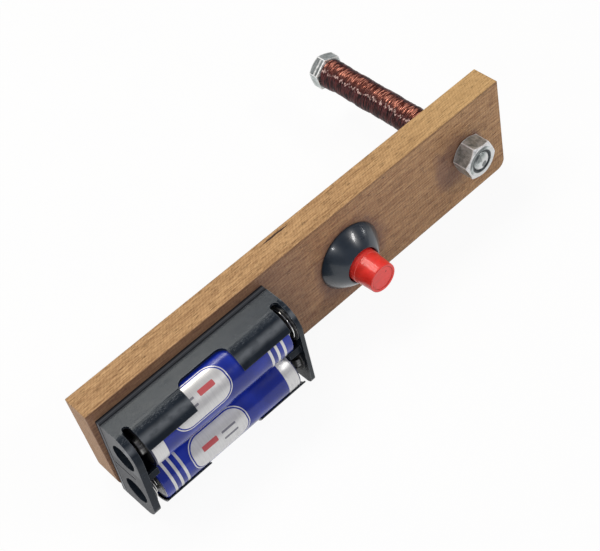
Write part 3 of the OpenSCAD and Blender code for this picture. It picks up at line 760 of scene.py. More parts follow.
@dataclass(frozen=True)
class FastenerSteel(PlatedSteel):
    """Zinc on a hexagon whose edges a spanner has rubbed bright, with painted highlights, a dark ring in the
    countersink and painted shade on its upper left.
    """

    name: str = "nut_steel"
    bright: Colour = (0.60, 0.66, 0.66)
    dull: Colour = (0.22, 0.265, 0.255)
    grime_and_shade_colour: Colour = (0.020, 0.025, 0.030)
    metallic: float = 0.55
    axis_x: float = MAGNET_X
    axis_z: float = MAGNET_Z
    face_y: float = -6.3
    ring_r: float = 3.45
    ring_half: float = 0.54
    patch_x: float = 0.8
    patch_z: float = -1.6
    patch_r: float = 1.15
    width: float = 10.9
    corner: float = -10.0
    planes: tuple[tuple[float, float, bool], ...] = ((-6.3, 1.0, True), (0.0, -1.0, True))
    chamfer: float = 30.0
    face_share: float = 0.95
    streaks: tuple[tuple[float, float, float], ...] = ()
    # Share of painted shade on the side that looks up and left.
    upper_left_shade: float = 0.12

    def grime_and_shade(self, patch: Patch) -> Optional[Signal]:
        """Dark ring where tip and nut meet, a rough dark patch on the tip, painted shade over the front's upper left
        and on the side that looks up and left.

        Args:
            patch: Builder of the material's nodes.

        Returns:
            The mask, one where it is at its fullest.
        """
        x, y, z = patch.axes((self.axis_x, self.face_y + 0.4, self.axis_z))
        ragged = patch.wander(patch.place(), 1.1, 3.0, 0.6, 1.1)
        ring = reach(x, z).band(self.ring_r, self.ring_half, self.ring_half - 0.24, 0.95)
        rough = (reach(x - self.patch_x, z - self.patch_z) + ragged).ramp(
            self.patch_r, self.patch_r - 0.3, 0.0, 0.8)
        # Painted shade over the front face's upper left.
        shade = (z * 0.85 - x * 0.53 + ragged).ramp(1.4, 3.2, 0.0, 0.60)
        # The side that looks up and left gets painted shade too.
        return (ring | rough | shade) * y.ramp(0.3, -0.1) | self._upper_left(x, z) * self.upper_left_shade

    def rubbed_and_painted_light(self, patch: Patch) -> Optional[Signal]:
        """Edges of the hexagon: its six corners and the rims of its chamfered and flat ends, rubbed bright and painted
        as highlights, with painted highlight bands and painted light on the front face.

        Args:
            patch: Builder of the material's nodes.

        Returns:
            The mask, one where it is at its fullest.
        """
        x, y, z = patch.axes((self.axis_x, 0.0, self.axis_z))
        out, half = reach(x, z), self.width / 2
        turn = (z.maths("ARCTAN2", x) - math.radians(self.corner + 30)).maths("PINGPONG", math.pi / 6)
        side = (out * turn.maths("COSINE")).ramp(half - 0.42, half - 0.30)
        edge = half * math.tan(math.pi / 6)
        masks = [(out * turn.maths("SINE")).ramp(edge - 0.30, edge - 0.16, 0.0, 0.85) * side]
        # Painted highlight bands across the side that looks up and left.
        for low, high, share in self.streaks:
            reached = (high - low) / 2
            masks.append(y.band((low + high) / 2, reached + 0.12, reached - 0.08, share) * self._upper_left(x, z))
        for plane, inward, chamfered in self.planes:
            depth = (y - plane) * inward
            if chamfered:
                face = half * self.face_share
                depth = depth - (out - face) * math.tan(math.radians(self.chamfer))
                side = out.ramp(face - 0.25, face - 0.05)
            masks.append(depth.band(0.0, 0.40, 0.22, 1.0 if chamfered and inward > 0 else 0.40) * side)
        broken = patch.speckle(patch.place(), 1.2, 3.0, 0.6).ramp(0.30, 0.55, 0.45, 1.0)
        # Painted light over the front face, away from its upper left.
        lit = (z * 0.85 - x * 0.53).ramp(1.6, -0.6, 0.0, 0.62) * y.ramp(self.face_y + 0.8, self.face_y + 0.4)
        clear = abs(out - self.ring_r).ramp(self.ring_half - 0.15, self.ring_half + 0.1)
        return most(masks) * broken | lit * (1.0 - self.grime_and_shade(patch)) * clear

    def _upper_left(self, x: Signal, z: Signal) -> Signal:
        """Mask of the hexagon's face that looks up and to the left."""
        return z.maths("ARCTAN2", x).band(
            math.radians(self.corner + 150.0), math.radians(30.5), math.radians(28.5))


@dataclass(frozen=True)
class EnamelledWire(Finish):
    """Copper under dark red-brown enamel, no two turns alike: a painted highlight along the top, a painted glint line
    beside it, darker at the flanks.
    """

    name: str = "enamelled_wire"
    enamel: Colour = (0.105, 0.020, 0.012)
    deep: Colour = (0.014, 0.004, 0.005)
    flank: Colour = (0.105, 0.025, 0.025)
    # Colour of the painted highlight along the crest.
    copper: Colour = (0.95, 0.38, 0.265)
    # Colour of the painted glint line.
    painted_glint: Colour = (0.85, 0.60, 0.54)
    axis_x: float = MAGNET_X
    axis_z: float = MAGNET_Z
    packed: float = 0.5

    def paint(self, patch: Patch) -> Paint:
        """Tone by turn, a painted highlight along the crest, a thin painted glint line beside it, turns flattened
        against each other.

        Args:
            patch: Builder of the material's nodes.

        Returns:
            The relief's height, its depth in millimetres, and the Principled shader's values.
        """
        near = patch.place()
        out = self._vector(patch, "MULTIPLY", {
            0: patch.place((self.axis_x, 0.0, self.axis_z)), 1: (1.0, 0.0, 1.0)})
        out = self._vector(patch, "NORMALIZE", {0: out})
        x, _, z = patch.split(out)
        turns = patch.drawn((0.36, 3.0, 0.36), 1.0, 0.5, 0.3).ramp(0.30, 0.70, 0.0, 1.0, False)
        angle = x.maths("ARCTAN2", z) + patch.wander(patch.place(stretch=(0.3, 1.3, 0.3)), 1.0, 3.0, 0.6, 0.9)
        # Painted highlight along the crest.
        crest = angle.band(-0.03, 0.50, 0.14)
        patchy = patch.speckle(near, 0.6, 3.0, 0.6).ramp(0.38, 0.52, 0.62, 1.0)
        broken = patch.speckle(near, 0.9, 2.0, 0.5).ramp(0.40, 0.58)
        rubbed_and_painted_light = turns.ramp(0.42, 0.78).blend(self.enamel, self.copper)
        colour = turns.ramp(0.25, 0.75).blend(self.deep, self.flank)
        for share, other in ((crest * patchy, rubbed_and_painted_light), (angle.band(-0.45, 0.24, 0.08) * 0.5, self.enamel),
                             # Painted glint line beside the crest.
                             (angle.band(-0.70, 0.11, 0.04) * broken * 0.8, self.painted_glint)):
            colour = share.blend(colour, other)
        pushed = self._vector(patch, "SCALE", {0: out, "Scale": self.packed})
        own = self._vector(patch, "SCALE", {
            0: patch.add("ShaderNodeNewGeometry", output="Normal"), "Scale": 1 - self.packed})
        normal = self._vector(patch, "NORMALIZE", {0: self._vector(patch, "ADD", {0: own, 1: pushed})})
        return None, 0.0, dict(
            Base_Color=colour, Normal=normal, Metallic=crest.ramp(0.0, 1.0, 0.1, 0.5),
            Roughness=turns.ramp(0.0, 1.0, 0.42, 0.30), Coat_Weight=0.10, Coat_Roughness=0.15,
            Specular_IOR_Level=0.15)

    @staticmethod
    def _vector(patch: Patch, operation: str, inputs: dict) -> Signal:
        """Do one sum on vectors."""
        return patch.add("ShaderNodeVectorMath", inputs, operation=operation)


@dataclass(frozen=True)
class MouldedPlastic(Finish):
    """Moulded plastic with a fine skin, light dust and edges that catch the light."""

    name: str = "moulded_plastic"
    colour: Colour = (0.040, 0.044, 0.052)
    edge_colour: Colour = (0.20, 0.21, 0.225)
    dust_colour: Colour = (0.30, 0.31, 0.32)
    lit_face_colour: Colour = (0.05, 0.05, 0.05)
    tint: Colour = (1.0, 1.0, 1.0)
    roughness: float = 0.40
    dust: float = 0.35
    wear: float = 0.5
    grain: float = 0.02
    coat: float = 0.0
    specular: float = 0.5
    subsurface: float = 0.0

    def paint(self, patch: Patch) -> Paint:
        """Flow marks and grain in the skin, then wear and painted edge highlights, dust and scratches over it, and one
        moulding's own painted light and shade.

        Args:
            patch: Builder of the material's nodes.

        Returns:
            The relief's height, its depth in millimetres, and the Principled shader's values.
        """
        near = patch.place()
        flow = patch.speckle(patch.place(stretch=(0.5, 1.0, 1.0)), 0.16, 4.0, 0.6, 0.8)
        skin = patch.speckle(near, 3.4, 3.0, 0.6)
        wear = patch.use(Effect.WEAR, near, Width=0.3, Breaks=0.6)
        dust = patch.use(Effect.DUST, near, Amount=self.dust, Size=0.8)
        scratches = patch.use(Effect.SCRATCHES, near, Density=0.6)
        colour = flow.ramp(0.35, 0.7).blend(self.colour, tuple(min(1.0, part * 1.35) for part in self.colour))
        # Lighter edges: wear and painted highlights.
        colour = (wear * self.wear).blend(colour, self.edge_colour)
        colour = dust.blend(colour, self.dust_colour)
        rough = ((flow - 0.5) * 0.25 + self.roughness + dust * 0.35 + scratches * 0.12).held()
        face, shaded, rubbed_and_painted_light, groove = self.face(patch), self.shaded(patch), self.rubbed_and_painted_light(patch), self.groove(patch)
        # A matt face painted lighter: painted light.
        if face is not None:
            colour = (face * flow.ramp(0.2, 0.7, 0.7, 1.0)).blend(colour, self.lit_face_colour)
            rough = (rough + face * 0.25).held()
        # Polish and painted highlights.
        if rubbed_and_painted_light is not None:
            colour = rubbed_and_painted_light.blend(colour, self.edge_colour)
            rough = (rough - rubbed_and_painted_light * 0.12).held()
        # Sunk lines, and painted shadow in a joint.
        if groove is not None:
            colour = (groove * 0.85).blend(colour, tuple(part * 0.2 for part in self.colour))
            rough = (rough + groove * 0.6).held()
            skin = skin - groove * 4.0
        # Painted shade: less reflection under the shaded mask.
        shine = self.specular if shaded is None else shaded.ramp(0.0, 1.0, self.specular, 0.05)
        return skin - scratches * 0.4, self.grain, dict(
            Base_Color=colour, Roughness=rough, Coat_Weight=self.coat, Coat_Roughness=0.11,
            Specular_IOR_Level=shine, Specular_Tint=self.tint,
            Subsurface_Weight=self.subsurface, Subsurface_Scale=0.4 * MM)

    def groove(self, patch: Patch) -> Optional[Signal]:
        """Give the mask of a sunk line that one moulding alone has, with any painted shadow in a joint."""
        return None

    def face(self, patch: Patch) -> Optional[Signal]:
        """Give the mask of a face that is matt and painted lighter on one moulding: painted light."""
        return None

    def shaded(self, patch: Patch) -> Optional[Signal]:
        """Give the mask of painted shade on one moulding, where its skin reflects less."""
        return None

    def rubbed_and_painted_light(self, patch: Patch) -> Optional[Signal]:
        """Give the mask of places polished and painted with highlights on one moulding."""
        return None


@dataclass(frozen=True)
class HolderPlastic(MouldedPlastic):
    """The holder's plastic, with the parting line along its foot."""

    name: str = "holder_plastic"
    colour: Colour = (0.010, 0.0145, 0.021)
    edge_colour: Colour = (0.22, 0.24, 0.26)
    dust_colour: Colour = (0.15, 0.17, 0.19)
    # Lighter outer face of the left plate: painted light.
    lit_face_colour: Colour = (0.135, 0.138, 0.142)
    tint: Colour = (0.87, 0.94, 1.0)
    roughness: float = 0.24
    specular: float = 0.27
    dust: float = 0.13
    line_depth: float = -1.9
    lip_depth: float = -1.0
    axis_y: float = CELL_AXIS_Y
    axis_z: float = UPPER_AXIS_Z
    ends: tuple[float, float] = (8.2, 53.8)
    plate_edge: float = PLATE_EDGE_Y
    middle_z: float = 9.0

    def groove(self, patch: Patch) -> Optional[Signal]:
        """Parting line all round the foot, at one depth from the wood, and painted shadow in the joint at the wood."""
        across = patch.axes((0.0, self.line_depth, 0.0))[1]
        # The parting line, then painted shadow in the joint at the wood.
        return across.band(0.0, 0.26, 0.12) | across.ramp(-self.line_depth - 0.6, -self.line_depth - 0.4)

    def face(self, patch: Patch) -> Optional[Signal]:
        """Outer face of the left end plate, left matt by its side of the mould and painted lighter: painted light."""
        return patch.along_normal().ramp(-0.88, -0.96) * patch.axes((3.0, 0.0, 0.0))[0].ramp(0.3, -0.3)

    def shaded(self, patch: Patch) -> Optional[Signal]:
        """Painted shade, by less reflection, on the gussets between the bays at both ends and on the rim of the left
        plate.

        Args:
            patch: Builder of the material's nodes.

        Returns:
            The mask, one where it is at its fullest.
        """
        along, across, up = patch.axes()
        left, right = self.ends
        ends = along.ramp(left + 0.2, left - 0.2) | along.ramp(right - 0.2, right + 0.2)
        # Painted shade in the bays' ends and on the left plate's rim.
        inside = ends * up.band(self.middle_z, 9.9, 9.3) * across.ramp(-2.2, -2.6)
        inside = inside * across.ramp(self.plate_edge + 0.05, self.plate_edge + 0.2)
        rim = along.ramp(5.4, 5.0) * across.ramp(self.plate_edge + 1.1, self.plate_edge + 0.5, 0.0, 0.6)
        return inside | rim

    def rubbed_and_painted_light(self, patch: Patch) -> Optional[Signal]:
        """Painted highlights, with a smoother skin, on the crest of the upper clips, along a line where they begin to
        curl and on the foot's lip, and painted light along the foot.

        Args:
            patch: Builder of the material's nodes.

        Returns:
            The mask, one where it is at its fullest.
        """
        _, across, up = patch.axes((0.0, self.axis_y, self.axis_z))
        angle = up.maths("ARCTAN2", across * -1.0)
        near = patch.place(stretch=(1.0, 1.5, 1.5))
        # Painted highlights along the crest and where the clips begin to curl.
        crest = angle.band(0.98, 0.26, 0.02) * patch.speckle(near, 0.35, 3.0, 0.5).ramp(0.30, 0.60, 0.6, 1.0)
        curl_highlight = (angle + patch.wander(near, 0.8, 2.0, 0.5, 0.35)).band(1.38, 0.13, 0.03)
        curl_highlight = curl_highlight * patch.speckle(near, 2.2, 3.0, 0.6).ramp(0.46, 0.66, 0.0, 0.6)
        worn_and_highlight = (crest | curl_highlight) * up.ramp(2.0, 3.0) * 0.55
        # Painted highlight on the foot's lip, and painted light along the foot.
        lip = across.band(self.lip_depth - self.axis_y, 0.30, 0.12, 0.60)
        return worn_and_highlight | lip | across.ramp(-self.axis_y - 2.8, -self.axis_y - 0.8, 0.0, 0.35)


@dataclass(frozen=True)
class ButtonPlastic(MouldedPlastic):
    """The button's red plastic, with the ring and the gate mark of its moulding on the end."""

    axis_x: float = SWITCH_X
    axis_z: float = SWITCH_Z
    end_y: float = -13.2
    ring_r: float = 3.72
    pip: tuple[float, float] = (1.6, 1.5)
    pip_r: float = 0.26

    def groove(self, patch: Patch) -> Optional[Signal]:
        """Fine ring inside the rim of the end and the small pit of the gate.

        Args:
            patch: Builder of the material's nodes.

        Returns:
            The mask, one where it is at its fullest.
        """
        x, y, z = patch.axes((self.axis_x, self.end_y, self.axis_z))
        ring = reach(x, z).band(self.ring_r, 0.20, 0.05, 0.45)
        pit = reach(x - self.pip[0], z - self.pip[1]).ramp(self.pip_r + 0.1, self.pip_r - 0.1, 0.0, 0.9)
        return (ring | pit) * y.ramp(0.1, -0.1)


@dataclass(frozen=True)
class PrintedJacket(Finish):
    """Shiny blue jacket of a cell with a foil band and a plain generic print."""

    name: str = "printed_jacket"
    base_x: float = 6.0
    towards_cap: float = 1.0
    axis_z: float = LOWER_AXIS_Z
    turn: float = 0.0
    panel_at: float = 26.0
    blue: Colour = (0.006, 0.020, 0.25)
    bright_blue: Colour = (0.012, 0.036, 0.40)
    silver: Colour = (0.67, 0.67, 0.665)
    bright_silver: Colour = (0.77, 0.77, 0.76)
    # Dark rolled end at the cap: painted shade.
    shaded_rolled_end: Colour = (0.012, 0.014, 0.02)
    line: Colour = (0.75, 0.76, 0.82)
    red: Colour = (0.55, 0.03, 0.04)
    grey: Colour = (0.10, 0.10, 0.14)
    rings: tuple[float, ...] = (3.0, 5.2, 7.4)
    band: float = FOIL_BAND
    length: float = CELL_LENGTH
    radius: float = CELL_RADIUS
    axis_y: float = CELL_AXIS_Y

    def paint(self, patch: Patch) -> Paint:
        """Foil band at the cap, a long pale panel with plain bars, rings and a fine line, painted shade on the rolled
        end.

        Args:
            patch: Builder of the material's nodes.

        Returns:
            The relief's height, its depth in millimetres, and the Principled shader's values.
        """
        x, y, z = patch.axes((self.base_x, self.axis_y, self.axis_z))
        along = x * self.towards_cap
        around = (z.maths("ARCTAN2", y * -1.0) - self.turn) * self.radius

        def box(at: float, off: float, long: float, high: float, corner: float) -> Signal:
            """Mask of a rounded rectangle on the unrolled jacket.

            Args:
                at: Its middle along the cell.
                off: Its middle round the cell.
                long: Half its length.
                high: Half its height.
                corner: Radius of its corners.

            Returns:
                The mask.
            """
            sides = ((along, at, long), (around, off, high))
            aside = [(abs(value - middle) - (half - corner)).maths("MAXIMUM", 0.0) for value, middle, half in sides]
            return reach(*aside).ramp(corner + 0.04, corner - 0.04)

        at = self.panel_at
        foil = along.ramp(self.length - self.band - 0.05, self.length - self.band + 0.05)
        hoop = box(at, 0.0, 9.9, 5.9, 5.1) - box(at, 0.0, 9.6, 5.6, 4.8)
        line, red = box(at, 9.3, 13.0, 0.14, 0.1), box(at - 3.2, 0.9, 2.6, 0.85, 0.3)
        grey = box(at + 3.4, 1.1, 2.4, 0.32, 0.2) | box(at + 3.4, -1.0, 2.4, 0.32, 0.2)
        # Dark rolled end at the cap: painted shade.
        rolled = along.ramp(self.length - 0.55, self.length - 0.40)
        rings = most(box(ring, 0.0, 0.42, 60.0, 0.1) for ring in self.rings)
        metal = (foil | box(at, 0.0, 9.2, 5.2, 4.4) | rings | hoop) * (1.0 - rolled)
        near = patch.place()
        silver = patch.drawn((2.5, 0.2, 0.2)).ramp(0.2, 0.8).blend(self.silver, self.bright_silver)
        colour = patch.speckle(near, 0.12, 3.0, 0.5).ramp(0.35, 0.7).blend(self.blue, self.bright_blue)
        for share, other in ((metal, silver), (rolled * 0.9, self.shaded_rolled_end), (line * 0.85, self.line),
                             (red * 0.9, self.red), (grey * 0.8, self.grey)):
            colour = share.blend(colour, other)
        scratches = patch.use(Effect.SCRATCHES, near, Density=0.35)
        rough = metal.ramp(0.0, 1.0, 0.22, 0.36) + scratches * 0.15
        return patch.speckle(near, 0.22, 2.0, 0.4) + scratches * -0.05, 0.12, dict(
            Base_Color=colour, Roughness=rough, Metallic=metal * (1.0 - (red | grey)) * 0.45,
            Coat_Weight=0.16, Coat_Roughness=0.12, Specular_IOR_Level=0.42)


@dataclass
class WoodenBar:
    """The bar that carries everything, on its long edge."""

    edge: float = 0.28

    def build(self) -> None:
        """Copy the bored bar, ease its edges and give it its wood."""
        bar = Workshop.from_solid("bar_wood", "wooden_bar")
        Workshop.ease(bar, self.edge, 2)
        Workshop.fit(bar, PlanedWood().make(), "wood", BOARD, "wooden_bar")


@dataclass
class Magnet:
    """Bolt, nuts and winding."""

    axis_x: float = MAGNET_X
    axis_z: float = MAGNET_Z
    coil_start: float = 15.3
    coil_end: float = 59.6
    coil_dia: float = 9.6
    head_y: float = 59.6
    head_height: float = 4.0
    wire_dia: float = 0.56
    turns: float = 78.5
    flare: float = 0.3
    flare_share: float = 0.14
    rings_per_turn: int = 30

    def build(self) -> None:
        """Build the bolt, the pair of nuts and the winding."""
        # The head gets painted shade on its upper-left side and painted highlight bands across it.
        head = FastenerSteel(name="bolt_steel", streak=(0.5, 6.0, 0.5), width=10.4, corner=-20.0, upper_left_shade=0.45,
                             streaks=((59.5, 60.1, 1.0), (60.9, 61.5, 0.8)),
                             planes=((self.head_y, 1.0, False), (self.head_y + self.head_height, -1.0, True)))
        for name, node, finish in (("bolt", "magnet_bolt", head), ("nuts", "bolt_nuts", FastenerSteel())):
            piece = Workshop.from_solid(name, node)
            Workshop.ease(piece, 0.22, 2, 18.0)
            Workshop.fit(piece, finish.make(), "zinc_steel", BOARD, node)
        Workshop.fit(self._winding(), EnamelledWire().make(), "copper_wire", BOARD, "coil_turns")
        Workshop.dress("coil_core", EnamelledWire(name="inner_layers", enamel=(0.10, 0.03, 0.02)).make())

    def _swell(self, share: float) -> float:
        """Give how far the winding swells at a share of its length."""
        t = max(0.0, min(1.0, (share - 1 + self.flare_share) / self.flare_share))
        return self.flare * t * t * (3 - 2 * t)

    def _winding(self) -> bpy.types.Object:
        """Lay the outer layer, one unbroken wire whose turns press unevenly on each other.

        Returns:
            The winding.
        """
        length = self.coil_end - self.coil_start - self.wire_dia

        def place(share: float, angle: float) -> Point:
            """Give a point of the wire, wandering in and out and along the bolt.

            Args:
                share: Share of the wire's length.
                angle: Angle reached there.

            Returns:
                The point.
            """
            out, up = math.cos(angle), math.sin(angle)
            uneven = noise.noise(Vector((share * 16.0, out * 0.5, up * 0.5))) * 0.22
            uneven += noise.noise(Vector((share * 70.0, out * 0.9, up * 0.9))) * 0.16
            radius = (self.coil_dia - self.wire_dia) / 2 - 0.08 + uneven + self._swell(share)
            drift = noise.noise(Vector((share * 55.0, 7.0 + out * 0.5, up * 0.5))) * 0.10
            y = self.coil_start + self.wire_dia / 2 + length * share + drift * math.sin(math.pi * share) ** 0.2
            return self.axis_x + radius * out, y, self.axis_z - radius * up

        path = coil(self.turns, int(self.turns * self.rings_per_turn), place)
        return Workshop.wire("winding", path, self.wire_dia, 8)


@dataclass
class PushSwitch:
    """Domed collar, red button and what sits behind the bar."""

    axis_x: float = SWITCH_X
    axis_z: float = SWITCH_Z
    collar_r: float = 10.85
    collar_rim: float = 0.5
    collar_depth: float = 6.1
    bulge: float = 1.14
    mouth_r: float = 5.5
    mouth_round: float = 0.45
    shoulder: float = -1.6
    bore_r: float = 6.2
    barrel_r: float = 7.2
    barrel_end: float = 13.0
    button_r: float = 5.15
    tip_r: float = 4.65
    tip_y: float = -13.9
    ring_len: float = 1.3
    thread_pitch: float = 0.8
    spring_start: float = -0.3
    spring_end: float = 10.55
    spring_r: float = 5.375
    spring_wire: float = 0.45
    spring_turns: float = 5.0
    travel: float = 2.2

    def build(self) -> None:
        """Build the collar, the button with its spring, and dress the working parts."""
        gloss = MouldedPlastic(name="collar_plastic", colour=(0.013, 0.024, 0.038), roughness=0.30, dust=0.05,
                               wear=0.2, grain=0.003, coat=0.38)
        centre = (self.axis_x, 0.0, self.axis_z)
        collar = Workshop.turned("collar", self._collar_profile(), centre, Axis.THROUGH, 128)
        Workshop.fit(collar, gloss.make(), "switch_black", BOARD, "switch_collar")
        red = ButtonPlastic(name="button_plastic", colour=(0.78, 0.030, 0.022), edge_colour=(0.90, 0.24, 0.17),
                            dust_colour=(0.75, 0.35, 0.30), roughness=0.36, dust=0.10, wear=0.5, grain=0.006,
                            coat=0.35, specular=0.4, subsurface=0.1)
        button = Workshop.turned("button_cap", self._button_profile(), centre, Axis.THROUGH, 96)
        Workshop.fit(button, red.make(), "button_red", BUTTON, "push_button")
        nut = Workshop.from_solid("rear_nut", "switch_nut")
        Workshop.ease(nut, 0.2, 2)
        Workshop.fit(nut, MouldedPlastic(name="rear_nut_plastic", roughness=0.45).make(), "switch_black", BOARD,
                     "switch_nut")
        brass = PlatedSteel(name="contact_brass", bright=(0.80, 0.60, 0.28), dull=(0.50, 0.34, 0.14), edge=0.3).make()
        for node in ("moving_contact", "switch_terminals"):
            Workshop.dress(node, brass)
        Workshop.dress("switch_base", MouldedPlastic(
            name="base_board", colour=(0.16, 0.075, 0.035), edge_colour=(0.34, 0.20, 0.11), roughness=0.55).make())
        self._return_spring()

    def _collar_profile(self) -> Profile:
        """Barrel with its thread, flange, slightly bulged flank, rounded mouth and stepped bore.

        Returns:
            Radius and distance along the axis of each point.
        """
        crown = self.mouth_r + self.mouth_round
        profile = [(self.bore_r, self.barrel_end), (self.barrel_r - 0.3, self.barrel_end)]
        y = self.barrel_end - 0.3
        while y > 11.8:
            profile += [(self.barrel_r, y), (self.barrel_r, y - 0.25), (self.barrel_r - 0.25, y - 0.45)]
            y -= self.thread_pitch
        profile += [(self.barrel_r, 11.3), (self.barrel_r, 0.0), (self.collar_r - 0.15, 0.0), (self.collar_r, -0.15)]
        for i in range(41):
            a = math.pi / 2 * i / 40
            profile.append((
                crown + (self.collar_r - crown) * max(0.0, math.cos(a)) ** (2 / self.bulge),
                -self.collar_rim - (self.collar_depth - self.collar_rim) * max(0.0, math.sin(a)) ** (2 / self.bulge)))
        profile += arc(crown, -self.collar_depth + self.mouth_round, self.mouth_round, 270, 180, 6)[1:]
        profile += [(self.mouth_r, self.shoulder), (self.bore_r, self.shoulder), (self.bore_r, self.barrel_end)]
        return profile

    def _button_profile(self) -> Profile:
        """Shallow dish, rounded rim, taper, straight ring, guide, flange, cup and stem.

        Returns:
            Radius and distance along the axis of each point.
        """
        ring_end = -self.collar_depth - self.ring_len
        edge = 0.3
        profile = [(0.0, self.tip_y + 0.3), (3.75, self.tip_y + 0.26), (3.85, self.tip_y + 0.2),
                   (3.98, self.tip_y + 0.03), (4.1, self.tip_y)]
        profile += [(self.tip_r - edge + edge * math.sin(a), self.tip_y + edge - edge * math.cos(a))
                    for a in (math.radians(15 * i) for i in range(7))]
        profile += [(self.button_r - 0.14, ring_end - 0.12), (self.button_r - 0.03, ring_end - 0.06),
                    (self.button_r, ring_end)]
        profile += [(self.button_r, -1.55), (6.1, -1.55), (6.1, -0.35), (3.6, -0.35), (3.6, -5.5), (1.5, -5.5),
                    (1.5, 6.55), (0.8, 6.55), (0.8, 7.25), (0.0, 7.25)]
        return profile

    def _return_spring(self) -> None:
        """Coil the spring between the button's flange and the base as smooth round wire."""
        half = self.spring_wire / 2
        start, end = self.spring_start + half, self.spring_end - half
        path = coil(self.spring_turns, 160, lambda share, angle: (
            self.axis_x + self.spring_r * math.cos(angle), start + (end - start) * share,
            self.axis_z + self.spring_r * math.sin(angle)))
        spring = Workshop.wire("return_spring", path, self.spring_wire, 12)
        steel = PlatedSteel(name="spring_steel", streak=(3.0, 3.0, 3.0), edge=0.0)
        Workshop.fit(spring, steel.make(), "zinc_steel", BOARD, "button_spring")
        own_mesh(spring)


@dataclass
class BatteryHolder:
    """Moulding, screws and contacts."""

    axis_y: float = CELL_AXIS_Y
    bay_x0: float = 4.1
    bay_x1: float = 57.7
    sheet: float = 0.3
    wire: float = 0.42
    base_r: float = 5.3
    top_r: float = 2.8
    turns: float = 2.5
    lower_length: float = 1.6
    upper_length: float = 2.0
    near: float = 0.02
    moulded_lean: float = 5.3
    lean: float = -1.4
    skew: float = 0.048
    top_z: float = 31.0
    thinned: float = 0.9
    slot: float = 2.7
    floor: float = 1.6
    plate_edge: float = PLATE_EDGE_Y
    moulded_corner: float = 3.5
    corner: float = 4.5
    far_corner: float = 2.6
    far_skew: float = 0.02
    far_z: float = 22.0

    def build(self) -> None:
        """Build the moulding, the contacts and the two contact springs, and dress the screws."""
        tray = Workshop.from_solid("holder_tray", "battery_holder")
        self._settle(tray, 0.0, self.slot, self.slot - 0.1)
        Workshop.ease(tray, 0.16, 2, 34.0)
        Workshop.fit(tray, HolderPlastic().make(), "holder_black", BOARD, "battery_holder")
        Workshop.dress("holder_screws", PlatedSteel(name="screw_steel", roughness=0.34).make())
        # Dark contact sheets: painted shade of the holder's bays.
        sheet = PlatedSteel(name="contact_sheet", bright=(0.13, 0.13, 0.135), dull=(0.05, 0.05, 0.055),
                            roughness=0.5, streak=(0.4, 0.4, 5.0), edge=0.0).make()
        for node in ("series_link", "negative_terminal", "positive_terminal"):
            contact = Workshop.from_solid(f"{node}_sheet", node)
            self._settle(contact, self.sheet, self.sheet, 1.0)
            Workshop.ease(contact, 0.05, 1, 34.0)
            Workshop.fit(contact, sheet, "contact_nickel", BOARD, node)
        nickel = PlatedSteel(name="spring_nickel", bright=(0.95, 0.94, 0.92), dull=(0.62, 0.62, 0.61),
                             roughness=0.12, streak=(2.0, 2.0, 2.0), edge=0.0).make()
        set_out = -self._askew(LOWER_AXIS_Z)
        lower = self._spring(LOWER_AXIS_Z, self.bay_x0 + self.sheet - set_out, 1.0,
                             self.lower_length + set_out, self.lean)
        upper = self._spring(UPPER_AXIS_Z, self.bay_x1 + self.thinned - self.sheet, -1.0,
                             self.upper_length + self.thinned, 0.0)
        for end, path in (("lower", lower), ("upper", upper)):
            spring = Workshop.wire(f"{end}_spring", path, self.wire, 12)
            Workshop.fit(spring, nickel, "contact_nickel", BOARD, f"{end}_cell_spring")

    def _settle(self, piece: bpy.types.Object, left: float, right: float, fade: float) -> None:
        """Set the end plates as they stand with the cells in: the left one askew, the right one thinner.

        Args:
            piece: Copy of a solid that belongs to the holder.
            left: How far from the left plate's inner face a point still goes with it.
            right: The same for the right plate.
            fade: Distance beyond that over which a point still goes partly with the left plate.
        """
        turn, back = math.radians(self.moulded_lean), math.radians(self.lean)
        for vertex in piece.data.vertices:
            x, y, z = vertex.co / MM + BOARD_ORIGIN
            off, deep = x - self.bay_x0, y + self.floor
            upright = off * math.cos(turn) - deep * math.sin(turn)
            share = 1.0 if upright < left + 0.03 else max(0.0, 1.0 - (upright - left) / fade)
            if share > 0.0:
                moved = Vector((x + self._askew(z), y, z))
                if deep <= -self.near:
                    depth, low = self._cornered(
                        off * math.sin(turn) + deep * math.cos(turn) - self.floor, z, self.corner)
                    depth += self.floor
                    moved = Vector((
                        self.bay_x0 + self._askew(z) + upright * math.cos(back) + depth * math.sin(back),
                        -self.floor - upright * math.sin(back) + depth * math.cos(back), low))
                x, y, z = Vector((x, y, z)).lerp(moved, share)
            elif x > self.bay_x1 - right - 0.03 and deep <= self.near:
                x += self.thinned if x < self.bay_x1 + 0.05 else 0.0
                if deep <= -self.near:
                    outer = x > self.bay_x1 + self.thinned - 0.4
                    x -= self.far_skew * max(0.0, self.far_z - z) if outer else 0.0
                    y, z = self._cornered(y, z, self.far_corner)
            vertex.co = metres((x, y, z))

    def _askew(self, z: float) -> float:
        """Give how far the left plate stands outwards at a height."""
        return -self.skew * (self.top_z - z)

    def _cornered(self, y: float, z: float, new: float) -> tuple[float, float]:
        """Set the round of an end plate's low corner to another radius.

        Args:
            y: Depth of a point of the plate.
            z: Its height.
            new: The new radius.

        Returns:
            Depth and height of the moved point.
        """
        old = self.moulded_corner
        out, down = y - self.plate_edge - old, z - old
        if out > self.near or down > self.near or abs(math.hypot(out, down) - old) > 0.05:
            return y, z
        return self.plate_edge + new + out * new / old, new + down * new / old

    def _spring(self, axis_z: float, foot_x: float, side: float, length: float, lean: float) -> list[Vector]:
        """List the path of a conical spring, wide at its sheet and narrow at the cell.

        Args:
            axis_z: Height of its axis.
            foot_x: Face of the sheet that it stands on.
            side: Direction towards the cell along the bar.
            length: Pressed length.
            lean: Angle in degrees that the sheet leans outwards.

        Returns:
            The path in the board's frame.
        """
        gap = self.wire / 2 + 0.03

